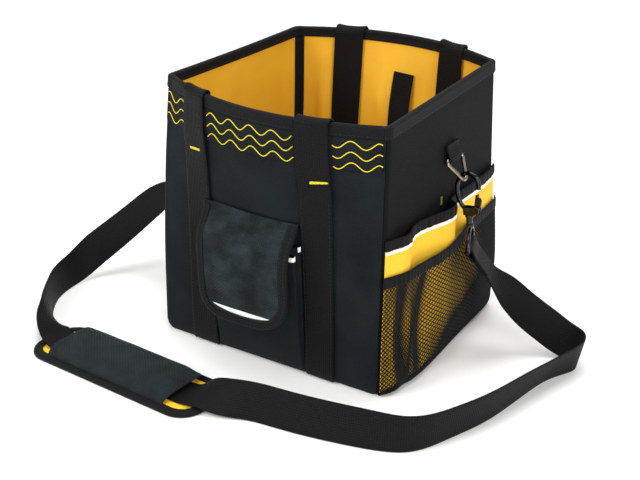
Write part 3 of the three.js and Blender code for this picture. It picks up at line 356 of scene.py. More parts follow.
def carried(centres: Array, wide: Array, profile: Array, closed: bool = False) -> Surface:
    """Profile carried along a line: point = centre + wide * first + (line x wide) * second.

    Args:
        centres: Line of points.
        wide: Direction of the profile's first coordinate at each point.
        profile: Closed outline of the section, counter-clockwise.
        closed: Whether the line closes on itself.

    Returns:
        The closed surface, facing outward.
    """
    if closed:
        forward = np.roll(centres, -1, 0) - np.roll(centres, 1, 0)
    else:
        forward = np.gradient(centres, axis=0)
    forward = unit(forward)
    wide = square_to(forward, wide)
    face = np.cross(forward, wide)
    section = wide[:, None] * profile[None, :, :1] + face[:, None] * profile[None, :, 1:]
    rings = centres[:, None] + section
    return tube(rings if closed else closed_ends(rings), closed)


def circle(radius: float, sides: int) -> Array:
    """Round outline."""
    angle = np.arange(sides) * TURN / sides
    return radius * together(np.cos(angle), np.sin(angle))


def webbing_outline(width: float, thick: float, across: int = 8) -> Array:
    """Flat outline with rounded edges.

    Args:
        width: Its width.
        thick: Its thickness.
        across: Points along each flat face.

    Returns:
        The closed outline, counter-clockwise.
    """
    half, edge = width / 2, thick / 2
    flat = np.linspace(-(half - edge), half - edge, across)
    bend = np.linspace(-math.pi / 2, math.pi / 2, 5)[1:-1]
    top = together(flat, np.full(across, edge))[::-1]
    round_right = together(half - edge + edge * np.cos(bend), edge * np.sin(bend))
    low = together(flat, np.full(across, -edge))
    return joined(low, round_right, top, -round_right)


def smooth_line(points: Array, closed: bool, count: int) -> Array:
    """Even points on the centripetal Catmull-Rom curve through the given ones.

    Args:
        points: Points that the curve passes.
        closed: Whether it closes on itself.
        count: Number of even steps.

    Returns:
        The points, with the last one left off where the curve closes.
    """
    if closed:
        p0, p1, p2, p3 = np.roll(points, 1, 0), points, np.roll(points, -1, 0), np.roll(points, -2, 0)
    else:
        whole = joined(2 * points[:1] - points[1:2], points, 2 * points[-1:] - points[-2:-1])
        p0, p1, p2, p3 = whole[:-3], whole[1:-2], whole[2:-1], whole[3:]
    root = lambda a, b: np.sqrt(np.linalg.norm(b - a, axis=-1))[:, None]
    d0, d1, d2 = root(p0, p1), root(p1, p2), root(p2, p3)
    leave = ((p1 - p0) / d0 - (p2 - p0) / (d0 + d1) + (p2 - p1) / d1) * d1
    arrive = ((p2 - p1) / d1 - (p3 - p1) / (d1 + d2) + (p3 - p2) / d2) * d1
    t = np.linspace(0, 1, CURVE_STEPS, endpoint=False)[None, :, None]
    square, cube = 3 * (p2 - p1) - 2 * leave - arrive, 2 * (p1 - p2) + leave + arrive
    a, b, c, d = (factor[:, None] for factor in (p1, leave, square, cube))
    line = (a + b * t + c * t**2 + d * t**3).reshape(-1, 3)
    line = joined(line, p2[-1:])
    length = running(line)
    even = read_along(np.linspace(0, length[-1], count + 1), length, line)
    return even[:-1] if closed else even


def node(
    tree: bpy.types.NodeTree, kind: str, inputs: dict[str | int, object] | None = None, **settings: object
) -> bpy.types.Node:
    """Adds one node.

    Args:
        tree: Node tree that it joins.
        kind: Blender's name of the node type, without ShaderNode before it.
        inputs: Input name or number to a socket that is linked to it, or to its value.
        settings: The node's own properties.

    Returns:
        The node.
    """
    made = tree.nodes.new(f"ShaderNode{kind}")
    for name, value in settings.items():
        setattr(made, name, value)
    for name, value in (inputs or {}).items():
        if isinstance(value, bpy.types.NodeSocket):
            tree.links.new(value, made.inputs[name])
        else:
            made.inputs[name].default_value = value
    return made


def linear(colour: str) -> tuple[float, float, float, float]:
    """An sRGB hex colour as linear red, green, blue and alpha."""
    srgb = np.array([int(colour[i : i + 2], 16) for i in (1, 3, 5)]) / 255
    return (*np.where(srgb <= 0.04045, srgb / 12.92, ((srgb + 0.055) / 1.055) ** 2.4).tolist(), 1.0)


# Scale of Blender's wave texture at which one band is one unit wide
ONE_BAND = TURN / 20


@dataclass(frozen=True)
class Finish:
    """A real material: its name, record slot, two shades and the shader's constant values."""

    name: str
    slot: str
    colour: str
    light: str
    roughness: float
    sheen: float = 0.0
    specular: float = 0.5
    metallic: float = 0.0

    def pattern(self, tree: bpy.types.NodeTree, uv: bpy.types.NodeSocket) -> tuple[object, object, float]:
        """Share of the lighter shade, height of the relief, and the relief's depth in millimetres.

        Args:
            tree: Node tree that the pattern joins.
            uv: Coordinates in millimetres.

        Returns:
            The share, the height and the depth.
        """
        raise NotImplementedError

    @functools.cache
    def material(self) -> bpy.types.Material:
        """The Blender material, made once."""
        made = bpy.data.materials.new(self.name)
        made.use_nodes = True
        tree = made.node_tree
        tree.nodes.clear()
        uv = node(tree, "UVMap", uv_map="UVMap").outputs["UV"]
        share, height, depth = self.pattern(tree, uv)
        colours = {0: share, 6: linear(self.colour), 7: linear(self.light)}
        shade = node(tree, "Mix", colours, data_type="RGBA", clamp_factor=True)
        bump = node(tree, "Bump", {"Height": height, "Distance": depth * MM, "Strength": 1.0})
        shader = node(
            tree,
            "BsdfPrincipled",
            {
                "Base Color": shade.outputs[2],
                "Normal": bump.outputs["Normal"],
                "Roughness": self.roughness,
                "Metallic": self.metallic,
                "Specular IOR Level": self.specular,
                "Sheen Weight": self.sheen,
            },
        )
        node(tree, "OutputMaterial", {"Surface": shader.outputs["BSDF"]})
        return made


@dataclass(frozen=True)
class WovenCloth(Finish):
    """Plain weave: warp and weft take turns on top, so the eye sees a fine chequer of short glints."""

    yarn: float = 1.0
    relief: float = 0.2
    uneven: float = 45.0
    # Strength of the slow colour patches: real dye on most cloth, painted light and shade on the flap
    dye_and_shade_patches: float = 1.0
    flecks: float = 0.7
    dark: float = 0.35

    def pattern(self, tree: bpy.types.NodeTree, uv: bpy.types.NodeSocket) -> tuple[object, object, float]:
        """Yarns one above the other on a chequer, with random flecks and a painted highlight on their tops,
        and slow change in the dye that on the flap is painted light and shade.
        """
        scale = (1 / self.yarn, 1 / self.yarn, 1.0)
        yarns = node(tree, "Mapping", {"Vector": uv, "Scale": scale}).outputs["Vector"]
        warp = node(tree, "TexWave", {"Vector": yarns, "Scale": ONE_BAND}, bands_direction="X")
        weft = node(tree, "TexWave", {"Vector": yarns, "Scale": ONE_BAND}, bands_direction="Y")
        over = node(tree, "TexChecker", {"Vector": yarns, "Scale": 1.0})
        height = node(
            tree, "Mix", {0: over.outputs["Fac"], 2: warp.outputs["Fac"], 3: weft.outputs["Fac"]}
        )
        fleck = node(tree, "TexNoise", {"Vector": yarns, "Scale": self.flecks, "Detail": 2.0})
        dye = node(tree, "TexNoise", {"Vector": uv, "Scale": 1 / self.uneven, "Detail": 2.0})
        # Lighter shade where the yarns stand highest: a painted highlight on the yarn tops, broken by random
        # flecks.
        glint = {0: fleck.outputs["Fac"], 1: height.outputs[0]}
        flecks_and_painted_glint = node(tree, "Math", glint, operation="MULTIPLY")
        stretched = {0: dye.outputs["Fac"], 1: self.dye_and_shade_patches, 2: 0.5 * (1 - self.dye_and_shade_patches)}
        patches = node(tree, "Math", stretched, operation="MULTIPLY_ADD")
        share = node(tree, "Math", {0: flecks_and_painted_glint.outputs[0], 1: patches.outputs[0]}, operation="ADD")
        shifted = node(tree, "Math", {0: share.outputs[0], 1: self.dark}, operation="SUBTRACT")
        return shifted.outputs[0], height.outputs[0], self.relief


@dataclass(frozen=True)
class RibbedTape(Finish):
    """Webbing or tape: close ribs across its length and fine warp lines along it."""

    rib: float = 1.8
    relief: float = 0.25
    flecks: float = 0.5

    def pattern(self, tree: bpy.types.NodeTree, uv: bpy.types.NodeSocket) -> tuple[object, object, float]:
        """Ribs shifted by half a step from one warp line to the next, with a painted highlight in random
        flecks on the rib tops.
        """
        scale = (1 / self.rib, 1 / self.rib, 1.0)
        ribs = node(tree, "Mapping", {"Vector": uv, "Scale": scale}).outputs["Vector"]
        across = node(tree, "TexWave", {"Vector": ribs, "Scale": ONE_BAND}, bands_direction="Y")
        along = node(tree, "TexWave", {"Vector": ribs, "Scale": ONE_BAND}, bands_direction="X")
        height = node(
            tree, "Math", {0: across.outputs["Fac"], 1: along.outputs["Fac"]}, operation="MULTIPLY"
        )
        fleck = node(tree, "TexNoise", {"Vector": ribs, "Scale": self.flecks, "Detail": 3.0})
        # Lighter shade where the ribs stand highest: a painted highlight, broken by flecks.
        glint = {0: fleck.outputs["Fac"], 1: height.outputs[0]}
        share = node(tree, "Math", glint, operation="MULTIPLY")
        return share.outputs[0], height.outputs[0], self.relief


@dataclass(frozen=True)
class PlatedMetal(Finish):
    """Die casting and wire under dark plating: soft reflections, brighter where it has rubbed."""

    rubbed: float = 4.0
    grain: float = 0.625
    relief: float = 0.04

    def pattern(self, tree: bpy.types.NodeTree, uv: bpy.types.NodeSocket) -> tuple[object, object, float]:
        """Rubbed patches a few millimetres across over a fine cast grain."""
        rubbed = node(tree, "TexNoise", {"Vector": uv, "Scale": 1 / self.rubbed, "Detail": 4.0})
        grain = node(tree, "TexNoise", {"Vector": uv, "Scale": 1 / self.grain, "Detail": 2.0})
        return rubbed.outputs["Fac"], grain.outputs["Fac"], self.relief


# Coarse woven nylon of the front, the back, the pouch and the base: matte, near black with a cool cast. The
# yarn is drawn twice as coarse as the real one so that it shows.
NYLON = WovenCloth("woven_nylon_charcoal", "nylon_charcoal", "#080b0d", "#1d2427", 0.75, 0.02, 0.08, yarn=1.5)
# The same cloth on the sides, darker than on the front: partly its own neutral tone, partly painted shade of
# the side walls
NYLON_BLACK_SHADED = WovenCloth(
    "woven_nylon_black_shaded", "nylon_charcoal", "#040506", "#0f1012", 0.75, 0.02, 0.08, yarn=1.5
)
# The same cloth over foam on the flap, lighter and cooler as painted light on its upward face, with soft
# patches of painted light and shade for its lumps
NYLON_PADDED_LIT = WovenCloth(
    "woven_nylon_on_foam_lit", "nylon_charcoal", "#0b1113", "#293336", 0.72, 0.03, 0.1, yarn=2.0, relief=0.3,
    uneven=26, dye_and_shade_patches=2.4,
)
# The same cloth drawn evenly over the pad, lighter as painted light on its upward face
NYLON_SLEEVE_LIT = WovenCloth(
    "woven_nylon_sleeve_lit", "nylon_charcoal", "#0a1012", "#262f32", 0.72, 0.03, 0.1, yarn=2.0, relief=0.3,
    uneven=26,
)
# Smooth twill of the band under the rim
BAND_TWILL = WovenCloth("twill_band_black", "webbing_black", "#0b0d0e", "#1e2124", 0.7, 0.02, 0.08, yarn=1.1)
# Polypropylene webbing: black; its dull shine on the ribs is partly its own gloss and partly painted, a
# lighter shade on the rib tops
WEBBING_BLACK = RibbedTape(
    "webbing_polypropylene_black", "webbing_black", "#050506", "#191919", 0.6, 0.01, 0.12, rib=2.4, relief=0.4
)
# Grosgrain binding tape: finer ribs, drawn coarser than the real ones so that they show
TAPE_BLACK = RibbedTape(
    "grosgrain_tape_black", "webbing_black", "#090a0b", "#262729", 0.65, 0.02, 0.1, rib=1.7
)
# Coated lining cloth: even and slightly waxy
LINING = WovenCloth(
    "lining_polyester_yellow", "lining_yellow", "#d8a021", "#ebb931", 0.62, 0.0, 0.3, yarn=0.9, relief=0.08
)
# The same cloth a little lighter, on the side pocket and under the pad
POCKET = WovenCloth(
    "pocket_polyester_yellow", "pocket_yellow", "#efb424", "#fbd03c", 0.62, 0.0, 0.3, yarn=0.9, relief=0.1
)
# Reflective tape: pale grey that answers light evenly
REFLECTIVE = WovenCloth(
    "reflective_tape_white", "reflective_white", "#e4e6e4", "#fafbf9", 0.4, 0.0, 0.5, yarn=0.7, relief=0.05
)
# Knitted net yarn
NET_YARN = RibbedTape("net_yarn_black", "net_black", "#0a0a0b", "#1d1d1f", 0.7, 0.0, 0.2, rib=0.8, relief=0.1)
# Polyester sewing thread: slightly shiny ply
THREAD_YELLOW = RibbedTape(
    "thread_polyester_yellow", "pocket_yellow", "#d8c41c", "#f6e73c", 0.45, 0.0, 0.4, rib=0.7, relief=0.1
)
THREAD_BLACK = RibbedTape(
    "thread_polyester_black", "webbing_black", "#0a0a0b", "#28282a", 0.5, 0.0, 0.3, rib=0.7, relief=0.1
)
# Yellow thread of the tack beside the side pocket, darkened to olive as painted shade on the right wall
THREAD_YELLOW_SHADED = RibbedTape(
    "thread_polyester_yellow_shaded", "pocket_yellow", "#6a6640", "#a6a070", 0.55, 0.0, 0.3, rib=0.7, relief=0.1
)
# Hooks cast in zinc under black nickel: dark and glossy
GUNMETAL = PlatedMetal("black_nickel_plated_zinc", "gunmetal", "#131315", "#47474a", 0.2, metallic=1.0)
# Rings of steel wire under old nickel: grey with a warm cast, brighter where it has rubbed
NICKEL = PlatedMetal("nickel_plated_steel_wire", "gunmetal", "#5f564a", "#b4a892", 0.24, metallic=1.0)


@dataclass(frozen=True)
class Fit:
    """How a piece joins the part: what it stands for, what it rides on, and its cloth thickness."""

    replaces: tuple[str, ...] = ()
    body: str = "bag"
    cloth: float = 0.0
    crease: float = 40.0


def put(name: str, parts: Sequence[Surface], finish: Finish, fit: Fit = Fit()) -> bpy.types.Object:
    """Makes one piece of the part from its surfaces.

    Args:
        name: Name of the piece.
        parts: Its surfaces, in millimetres.
        finish: What it is made of.
        fit: How it joins the part.

    Returns:
        The finished object, riding on its body.
    """
    whole = Surface.join(parts)
    mesh = bpy.data.meshes.new(name)
    mesh.from_pydata((whole.points * MM).tolist(), [], whole.quads.tolist())
    layer = mesh.uv_layers.new(name="UVMap")
    layer.data.foreach_set("uv", np.ascontiguousarray(whole.uv, dtype=np.float32).ravel())
    work = bmesh.new()
    work.from_mesh(mesh)
    bmesh.ops.remove_doubles(work, verts=work.verts, dist=MERGE)
    work.to_mesh(mesh)
    work.free()
    mesh.shade_smooth()
    mesh.set_sharp_from_angle(angle=math.radians(fit.crease))
    mesh.materials.append(finish.material())
    piece = bpy.data.objects.new(name, mesh)
    bpy.context.scene.collection.objects.link(piece)
    if fit.cloth:
        wall = piece.modifiers.new("Cloth", "SOLIDIFY")
        wall.thickness = fit.cloth * MM
        wall.offset = -1.0
    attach(piece, fit.body)
    if fit.replaces:
        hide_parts(*fit.replaces)
    log.info("%s: %d faces of %s", name, len(mesh.polygons), finish.name)
    return piece


def grid(rows: Array, columns: Array) -> tuple[Array, Array]:
    """Two equal grids: the first changes down the rows, the second along the columns."""
    return np.meshgrid(rows, columns, indexing="ij")


@dataclass(frozen=True)
class Wall:
    """One wall in plan at given heights."""

    start: Array
    along: Array
    outward: Array
    length: Array
    turns: tuple[Array, Array]
    belly: Array


@dataclass(frozen=True)
class BodyShape:
    """Form of the bag: a rounded four-sided plan that changes with height, and walls that belly out."""

    height: float = 281.0
    wall: float = 2.4
    base: float = 3.0
    lining: float = 0.9
    corner_radius: float = 8.0
    edge_inset: float = 6.0
    edge_height: float = 14.0
    dents: tuple[float, ...] = (0.7, 0.4, 0.8, 0.8)
    dent_waves: Rows = ((7.1, 5.3, 1, 1.0), (13.7, -8.9, 2, 0.6))
    bend_steps: int = 6
    wall_steps: int = 50
    corners: Table = Table(
        "z flx fly frx fry brx bry blx bly",
        (
            (0, -134, -121, 132, -122, 137, 121, -133, 121),
            (95, -133, -119, 133, -121, 136, 120, -126, 120),
            (190, -130, -114, 135, -122, 132, 119, -118, 119),
            (281, -126, -105, 138, -125, 129, 118, -116, 118),
        ),
    )
    belly: Table = Table(
        "z front right back left",
        ((0, 0, 0, 0, 0), (95, 8, 1, 8, 2), (190, 20, 1, 20, 3), (281, 32, 0, 33, -2)),
    )

    @property
    def lining_face(self) -> float:
        """Distance of the lining's inner face from the outside of the wall."""
        return -self.wall - GAP - self.lining

    def plan(self, side: Side, z: Array) -> Wall:
        """One wall in plan: corners moved in along their diagonals near the floor.

        Args:
            side: Which wall.
            z: Heights.

        Returns:
            The wall at each height.
        """
        read = lambda name: np.stack([self.corners.at(f"{name}{axis}", z) for axis in "xy"], -1)
        sharp = np.stack([read(name) for name in ("fl", "fr", "br", "bl")])
        along = unit(np.roll(sharp, -1, 0) - sharp)
        outward = together(along[..., 1], -along[..., 0])
        before = np.roll(outward, 1, 0)
        cosine = (before * outward).sum(-1, keepdims=True)
        drop = 1 - np.clip(z, 0, self.edge_height) / self.edge_height
        inset = self.edge_inset * (1 - np.sqrt(1 - drop**2))
        corner = sharp - (before + outward) * (inset[..., None] / (1 + cosine))
        half_turn = np.arccos(cosine[..., 0]) / 2
        following = (side + 1) % len(Side)
        length = np.linalg.norm(corner[following] - corner[side], axis=-1)
        turns = (half_turn[side], half_turn[following])
        belly = self.belly.at(side.name.lower(), z)
        return Wall(corner[side], along[side], outward[side], length, turns, belly)

    def dent(self, side: Side, share: Array, z: Array) -> Array:
        """Shallow waves of slack cloth, none at the corners, the floor and the rim.

        Args:
            side: Which wall.
            share: From 0 to 1 along its straight stretch.
            z: Height.

        Returns:
            Distance outward.
        """
        up = z / self.height
        calm = 4 * share * (1 - share) * np.sin(math.pi * np.clip(up, 0, 1)) ** 0.7
        wave = sum(
            size * np.sin(across * share + rise * up + shift * side)
            for across, rise, shift, size in self.dent_waves
        )
        return self.dents[side] * calm * wave

    def place(self, wall: Wall, travel: Array, lift: Array, z: Array) -> Array:
        """Point at a distance along a wall and square to it."""
        flat = wall.start + wall.along * travel[..., None] + wall.outward * lift[..., None]
        return at_height(flat, z)

    def wall_point(self, side: Side, stop: Array, z: Array, out: Array | float) -> Array:
        """Point outside a wall and its rounded corners.

        Args:
            side: Which wall.
            stop: From 0 to 1 a share of the straight stretch; -1 to 0 and 1 to 2 round the two corners.
            z: Height.
            out: Distance outside the wall.

        Returns:
            The points.
        """
        stop, z = np.broadcast_arrays(np.asarray(stop, float), np.asarray(z, float))
        wall = self.plan(side, z)
        first, last = (self.corner_radius * np.tan(turn) for turn in wall.turns)
        share = np.clip(stop, 0, 1)
        straight = wall.length - first - last
        bulge = 4 * wall.belly * share * (1 - share) + self.dent(side, share, z)
        angle = np.where(stop < 0, -stop * wall.turns[0], np.maximum(stop - 1, 0) * wall.turns[1])
        radius = self.corner_radius + out
        swing = radius * np.sin(angle)
        travel = first + straight * share + np.where(stop < 0, -swing, np.where(stop > 1, swing, 0))
        return self.place(wall, travel, out + bulge - radius * (1 - np.cos(angle)), z)

    def panel_point(
        self, side: Side, place: Array, z: Array, out: Array | float, slack: bool = True
    ) -> Array:
        """Point outside a wall at a given x (front, back) or y (left, right).

        Args:
            side: Which wall.
            place: Coordinate along the wall.
            z: Height.
            out: Distance outside the wall.
            slack: Whether the cloth's own waves count.

        Returns:
            The points.
        """
        place, z = np.broadcast_arrays(np.asarray(place, float), np.asarray(z, float))
        wall = self.plan(side, z)
        axis = side % 2
        travel = (place - wall.start[..., axis]) / wall.along[..., axis]
        first, last = (self.corner_radius * np.tan(turn) for turn in wall.turns)
        share = np.clip((travel - first) / (wall.length - first - last), 0, 1)
        bulge = 4 * wall.belly * share * (1 - share)
        if slack:
            bulge = bulge + self.dent(side, share, z)
        return self.place(wall, travel, out + bulge, z)

    def loop(self, z: Array, out: Array, fold: Callable[..., Array] | None = None) -> Array:
        """Rings of points all round the bag.

        Args:
            z: Height of each ring.
            out: Distance outside the wall of each ring.
            fold: Extra distance by side, share and height.

        Returns:
            Rings by points by three coordinates.
        """
        bends = np.linspace(-1, 0, self.bend_steps)
        stops = joined(bends[:-1], np.linspace(0, 1, self.wall_steps), 1 - bends[-2:0:-1])
        parts = []
        for side in Side:
            heights, places = grid(np.asarray(z, float), stops)
            away = np.broadcast_to(np.asarray(out, float)[:, None], heights.shape)
            if fold is not None:
                away = away + fold(side, np.clip(places, 0, 1), heights)
            parts.append(self.wall_point(side, places, heights, away))
        return np.concatenate(parts, 1)

    def wallwise(self, side: Side, place: Array, z: Array) -> Array:
        """Direction along a wall of growing x or y."""
        ahead, back = (self.panel_point(side, place + step, z, 0.0, False) for step in (1.0, -1.0))
        return unit(ahead - back)

    def square(self, side: Side, z: Array) -> Array:
        """Level direction square to a wall, outward."""
        outward = self.plan(side, np.asarray(z, float)).outward
        return at_height(outward, 0.0)


BODY = BodyShape()


@dataclass(frozen=True)
class Stitching:
    """Row of short thread stitches on a surface."""

    length: float = 3.0
    pitch: float = 4.2
    radius: float = 0.32
    sides: int = 6
    rounding: Rows = (
        (-1.0, 0.0, -0.9), (-0.94, 0.6, -0.7), (-0.6, 1.0, 0.0), (0.0, 1.0, 0.15),
        (0.6, 1.0, 0.0), (0.94, 0.6, -0.7), (1.0, 0.0, -0.9),
    )

    def capsules(self, centres: Array, along: Array, normal: Array, length: float | None = None) -> Surface:
        """Rounded stitches: rings of growing and shrinking radius along each one, sunk in at both ends.

        Args:
            centres: Middle of each stitch.
            along: Direction of each stitch.
            normal: Direction away from the cloth.
            length: Length of a stitch, where it isn't the row's own.

        Returns:
            All the stitches as one surface.
        """
        scale = ((length or self.length) / 2, self.radius, self.radius)
        where, size, sink = (np.array(self.rounding) * scale).T[..., None]
        first, second = circle(1.0, self.sides).T
        local = np.stack(np.broadcast_arrays(where, size * first, size * second + sink), -1)
        axes = np.stack([unit(along), unit(np.cross(normal, along)), unit(normal)], 1)
        return alike(centres[:, None, None] + np.einsum("rsk,nkd->nrsd", local, axes), local)

    def row(self, line: Array, normal: Array) -> Surface:
        """Stitches at even steps along a line on the cloth."""
        places, normals = evenly(line, self.pitch, normal)
        return self.capsules(places, unit(np.gradient(places, axis=0)), unit(normals))


SEAM = Stitching()


@dataclass(frozen=True)
class BagBody:
    """Walls, base, lining, rim binding, front band and inside tape."""

    slit: float = 0.035
    floor_corner: Span = (1.5, 2.0)
    creases: Rows = (
        (0.35, 0.3, 0.07, 1.0), (0.9, -0.4, 0.06, 1.0), (0.05, 0.75, 0.05, 0.8),
    )
    crease_depth: float = 1.6
    roll_depth: float = 0.8
    roll_wave: Triple = (11.0, 4.0, 1.7)
    tight_at: float = 0.94
    back_folds: Rows = (
        (0.84, 0.07, 0.03, 6.5), (0.55, 0.06, 0.03, 5.0), (0.34, 0.04, 0.03, 4.0),
    )
    binding_drop: float = 11.0
    binding_inside: float = 9.4
    binding_clear: float = 0.65
    binding_tape: float = 1.0
    binding_crown: float = 2.2
    binding_shoulder: float = 3.0
    binding_full: Span = (7.0, 4.0)
    binding_swell: float = 0.25
    binding_seam: float = 2.2
    band: Span = (237.0, 269.6)
    band_face: float = 1.5
    band_wrap: float = 0.5
    band_hem: Span = (1.5, 0.25)
    trim: float = 0.8
    tape_reach: float = 0.014
    tape_span: Span = (10.0, 271.5)

    def walls(self) -> None:
        """Four cloth walls: grids of height by place along the wall and its two half corners."""
        bends = np.linspace(self.slit, 1, 7)
        stops = joined(bends[:-1] - 1, np.linspace(0, 1, 66), 2 - bends[-2::-1])
        edge = BODY.edge_height
        heights = joined(np.linspace(0, edge, 8)[:-1], np.linspace(edge, BODY.height, 70))
        z, stop = grid(heights, stops)
        for side in Side:
            wall = sheet(BODY.wall_point(side, stop, z, 0.0))
            # The sides take the darker copy of the cloth, partly painted shade.
            finish = NYLON if side in (Side.FRONT, Side.BACK) else NYLON_BLACK_SHADED
            name = side.name.lower()
            put(f"wall_{name}", [wall], finish, Fit((f"{name}_panel",), cloth=BODY.wall))

    def bottom(self, z: float, out: float, steps: int) -> Array:
        """Level rings drawn in to the middle of the bag."""
        ring = BODY.loop(np.array([z]), np.array([out]))[0]
        return ring.mean(0) + (ring - ring.mean(0)) * np.linspace(1, 0, steps)[:, None, None]

    def base(self) -> None:
        """Stiff base under the lining, a level sheet of rings."""
        rings = self.bottom(BODY.base, -BODY.wall - GAP, 12)
        board = grid_surface(rings, False, True).facing(Facing.UP).level_uv()
        put("base_board", [board], NYLON, Fit(("base_panel",), cloth=BODY.base))

    def slack(self, side: Side, share: Array, z: Array) -> Array:
        """Soft folds of the lining, drawn tight at the rim and the floor, and most of them at the corners.

        Args:
            side: Which wall.
            share: From 0 to 1 along its straight stretch.
            z: Height.

        Returns:
            Distance outward, below zero where a fold stands into the bag.
        """
        up = z / BODY.height
        hold = np.sin(math.pi * np.clip(up * self.tight_at, 0, 1)) * 4 * share * (1 - share)
        folds = lambda rows: sum(
            depth * np.exp(-(((share - place - lean * up) / width) ** 2))
            for place, lean, width, depth in rows
        )
        across, rise, shift = self.roll_wave
        roll = 0.5 + 0.5 * np.sin(across * share + rise * up + shift * side)
        soft = hold * (self.crease_depth * folds(self.creases) + self.roll_depth * roll)
        below = np.clip(z / (BODY.height - self.binding_drop), 0, 1)
        return -soft - np.sin(math.pi * below) * (side is Side.BACK) * folds(self.back_folds)

    def lining_cup(self) -> None:
        """Lining: rings down the walls and in over the base."""
        floor = BODY.base + GAP + BODY.lining
        inset, above = self.floor_corner
        heights = np.linspace(BODY.height - GAP, floor + above, 60)
        rings = BODY.loop(heights, np.full(len(heights), BODY.lining_face), self.slack)
        rings = joined(rings, self.bottom(floor, BODY.lining_face - inset, 16))
        cup = grid_surface(rings, False, True).facing(Facing.IN).level_uv()
        made = put("lining_cloth", [cup], LINING, Fit(("lining",), cloth=BODY.lining, crease=70))

    def rim(self) -> None:
        """Binding folded over the rim: a U-shaped section carried round the bag, stitched on both sides."""
        outside = self.binding_clear + self.binding_tape
        inside = BODY.lining_face - outside
        middle, half = (outside + inside) / 2, (outside - inside) / 2
        legs = ((outside, 1, self.binding_drop), (inside, -1, self.binding_inside))
        rise = GAP + self.binding_tape + self.binding_crown
        angle = np.linspace(0, math.pi, 11)
        crown = [(middle + half * math.cos(a), rise * math.sin(a) ** 0.6 - self.binding_crown) for a in angle]
        full, spread = self.binding_full
        outer, inner = (
            [
                (face - way * self.binding_swell * ((dz + full) / spread) ** 2, dz)
                for dz in np.linspace(-drop, -self.binding_shoulder, 5)
            ]
            for face, way, drop in legs
        )
        back, front = inside + self.binding_tape, self.binding_clear
        under = [(back, -self.binding_inside), (back, GAP), (front, GAP), (front, -self.binding_drop)]
        out, dz = np.array([*outer, *crown, *inner[::-1], *under]).T
        rings = BODY.loop(BODY.height + dz, out)
        tape = tube(np.swapaxes(rings, 0, 1), True)
        put("rim_tape", [tape], TAPE_BLACK, Fit(("rim_binding",), crease=60))
        thread = []
        for face, way, drop in legs:
            line = BODY.loop(np.array([BODY.height - drop + self.binding_seam]), np.array([face]))[0]
            line = looped(line)
            thread.append(SEAM.row(line, unit((line - [0, 0, BODY.height]) * [way, way, 0])))
        put("rim_stitches", thread, THREAD_BLACK)

    def front_band(self) -> None:
        """Smooth band under the rim of the front wall, drawn in at its hem."""
        wrap = np.linspace(0, self.band_wrap, 5)[1:]
        stops = joined(-wrap[::-1], np.linspace(0, 1, 60), 1 + wrap)
        z, stop = grid(np.linspace(*self.band, 14), stops)
        reach, depth = self.band_hem
        hem = np.exp(-(((z - self.band[0]) / reach) ** 2)) * depth
        face = sheet(BODY.wall_point(Side.FRONT, stop, z, self.band_face - hem))
        put("band_front", [face], BAND_TWILL, Fit(("front_band",), cloth=self.trim))

    def corner_tape(self) -> None:
        """Tape over the seam inside the back left corner."""
        heights = np.linspace(*self.tape_span, 40)
        spans = (
            (Side.BACK, np.linspace(1 - self.tape_reach, 2, 9)),
            (Side.LEFT, np.linspace(-1, self.tape_reach, 9)[1:]),
        )
        face = BODY.lining_face - GAP - self.trim
        parts = [BODY.wall_point(side, *grid(heights, stops)[::-1], face) for side, stops in spans]
        tape = sheet(np.concatenate(parts, 1), Facing.IN)
        put("tape_inside_corner", [tape], TAPE_BLACK, Fit(("corner_tape",), cloth=self.trim))

    def build(self) -> None:
        """Makes all of its pieces."""
        self.walls()
        self.base()
        self.lining_cup()
        self.rim()
        self.front_band()
        self.corner_tape()


@dataclass(frozen=True)
class FoldedTape:
    """Binding tape over an edge: its reach, thickness and swell, and where its face and its nose start."""

    width: float
    thick: float
    swell: float
    face: float
    nose: float
    nose_reach: float = 1.5

    def section(self, low: float, high: float) -> tuple[Array, Array]:
        """Rounded U-shaped section: over the top, round the nose, back below and along both inner faces.

        Args:
            low: Underside of what the tape holds.
            high: Upper side of it.

        Returns:
            Inset from the edge and height of each point.
        """
        low, high = low - GAP, high + GAP
        inner = np.array([(self.width, low), (0.0, low), (0.0, high), (self.width, high)])
        low, high = low - self.thick, high + self.thick
        bend = np.linspace(math.pi / 2, 3 * math.pi / 2, 9)
        over = np.linspace(self.width, self.face, 5)
        top = together(over, high + self.swell * np.sin(math.pi * over / self.width))
        across = self.nose + self.nose_reach * np.cos(bend)
        nose = together(across, (low + high) / 2 + (high - low) / 2 * np.sin(bend))
        under = together(over[::-1], low)
        return joined(top, nose, under, inner).T


@dataclass(frozen=True)
class Webbing:
    """Woven strap stock of one width."""

    width: float = 37.0
    thick: float = 1.8

    def along(self, centres: Array, wide: Array) -> Surface:
        """Webbing along a line, with its width along the given directions."""
        return carried(centres, wide, webbing_outline(self.width, self.thick))

    def edges(self, centres: Array, wide: Array, inset: float, way: Array) -> tuple[Array, Array, Array]:
        """The two stitch lines along its edges, and the direction away from its face.

        Args:
            centres: Middle line of the webbing.
            wide: Direction of its width at each point.
            inset: Distance of the stitches from the edges.
            way: Direction that the face with the stitches looks to.

        Returns:
            Both lines and the direction.
        """
        forward = unit(np.gradient(centres, axis=0))
        wide = square_to(forward, wide)
        normal = np.cross(forward, wide)
        normal = normal * np.sign((normal * way).sum())
        lift = normal * (self.thick / 2)
        reach = wide * (self.width / 2 - inset)
        return centres + lift - reach, centres + lift + reach, normal


STRAP = Webbing()
HANDLE = Webbing(33.0, 1.8)
TAB = Webbing(25.0, 1.8)


@dataclass(frozen=True)
class Leg:
    """One leg of a handle: its place at the floor, its lean to the right by the rim, its bulge under it."""

    x: float
    lean: float = 0.0
    bulge: float = 0.6


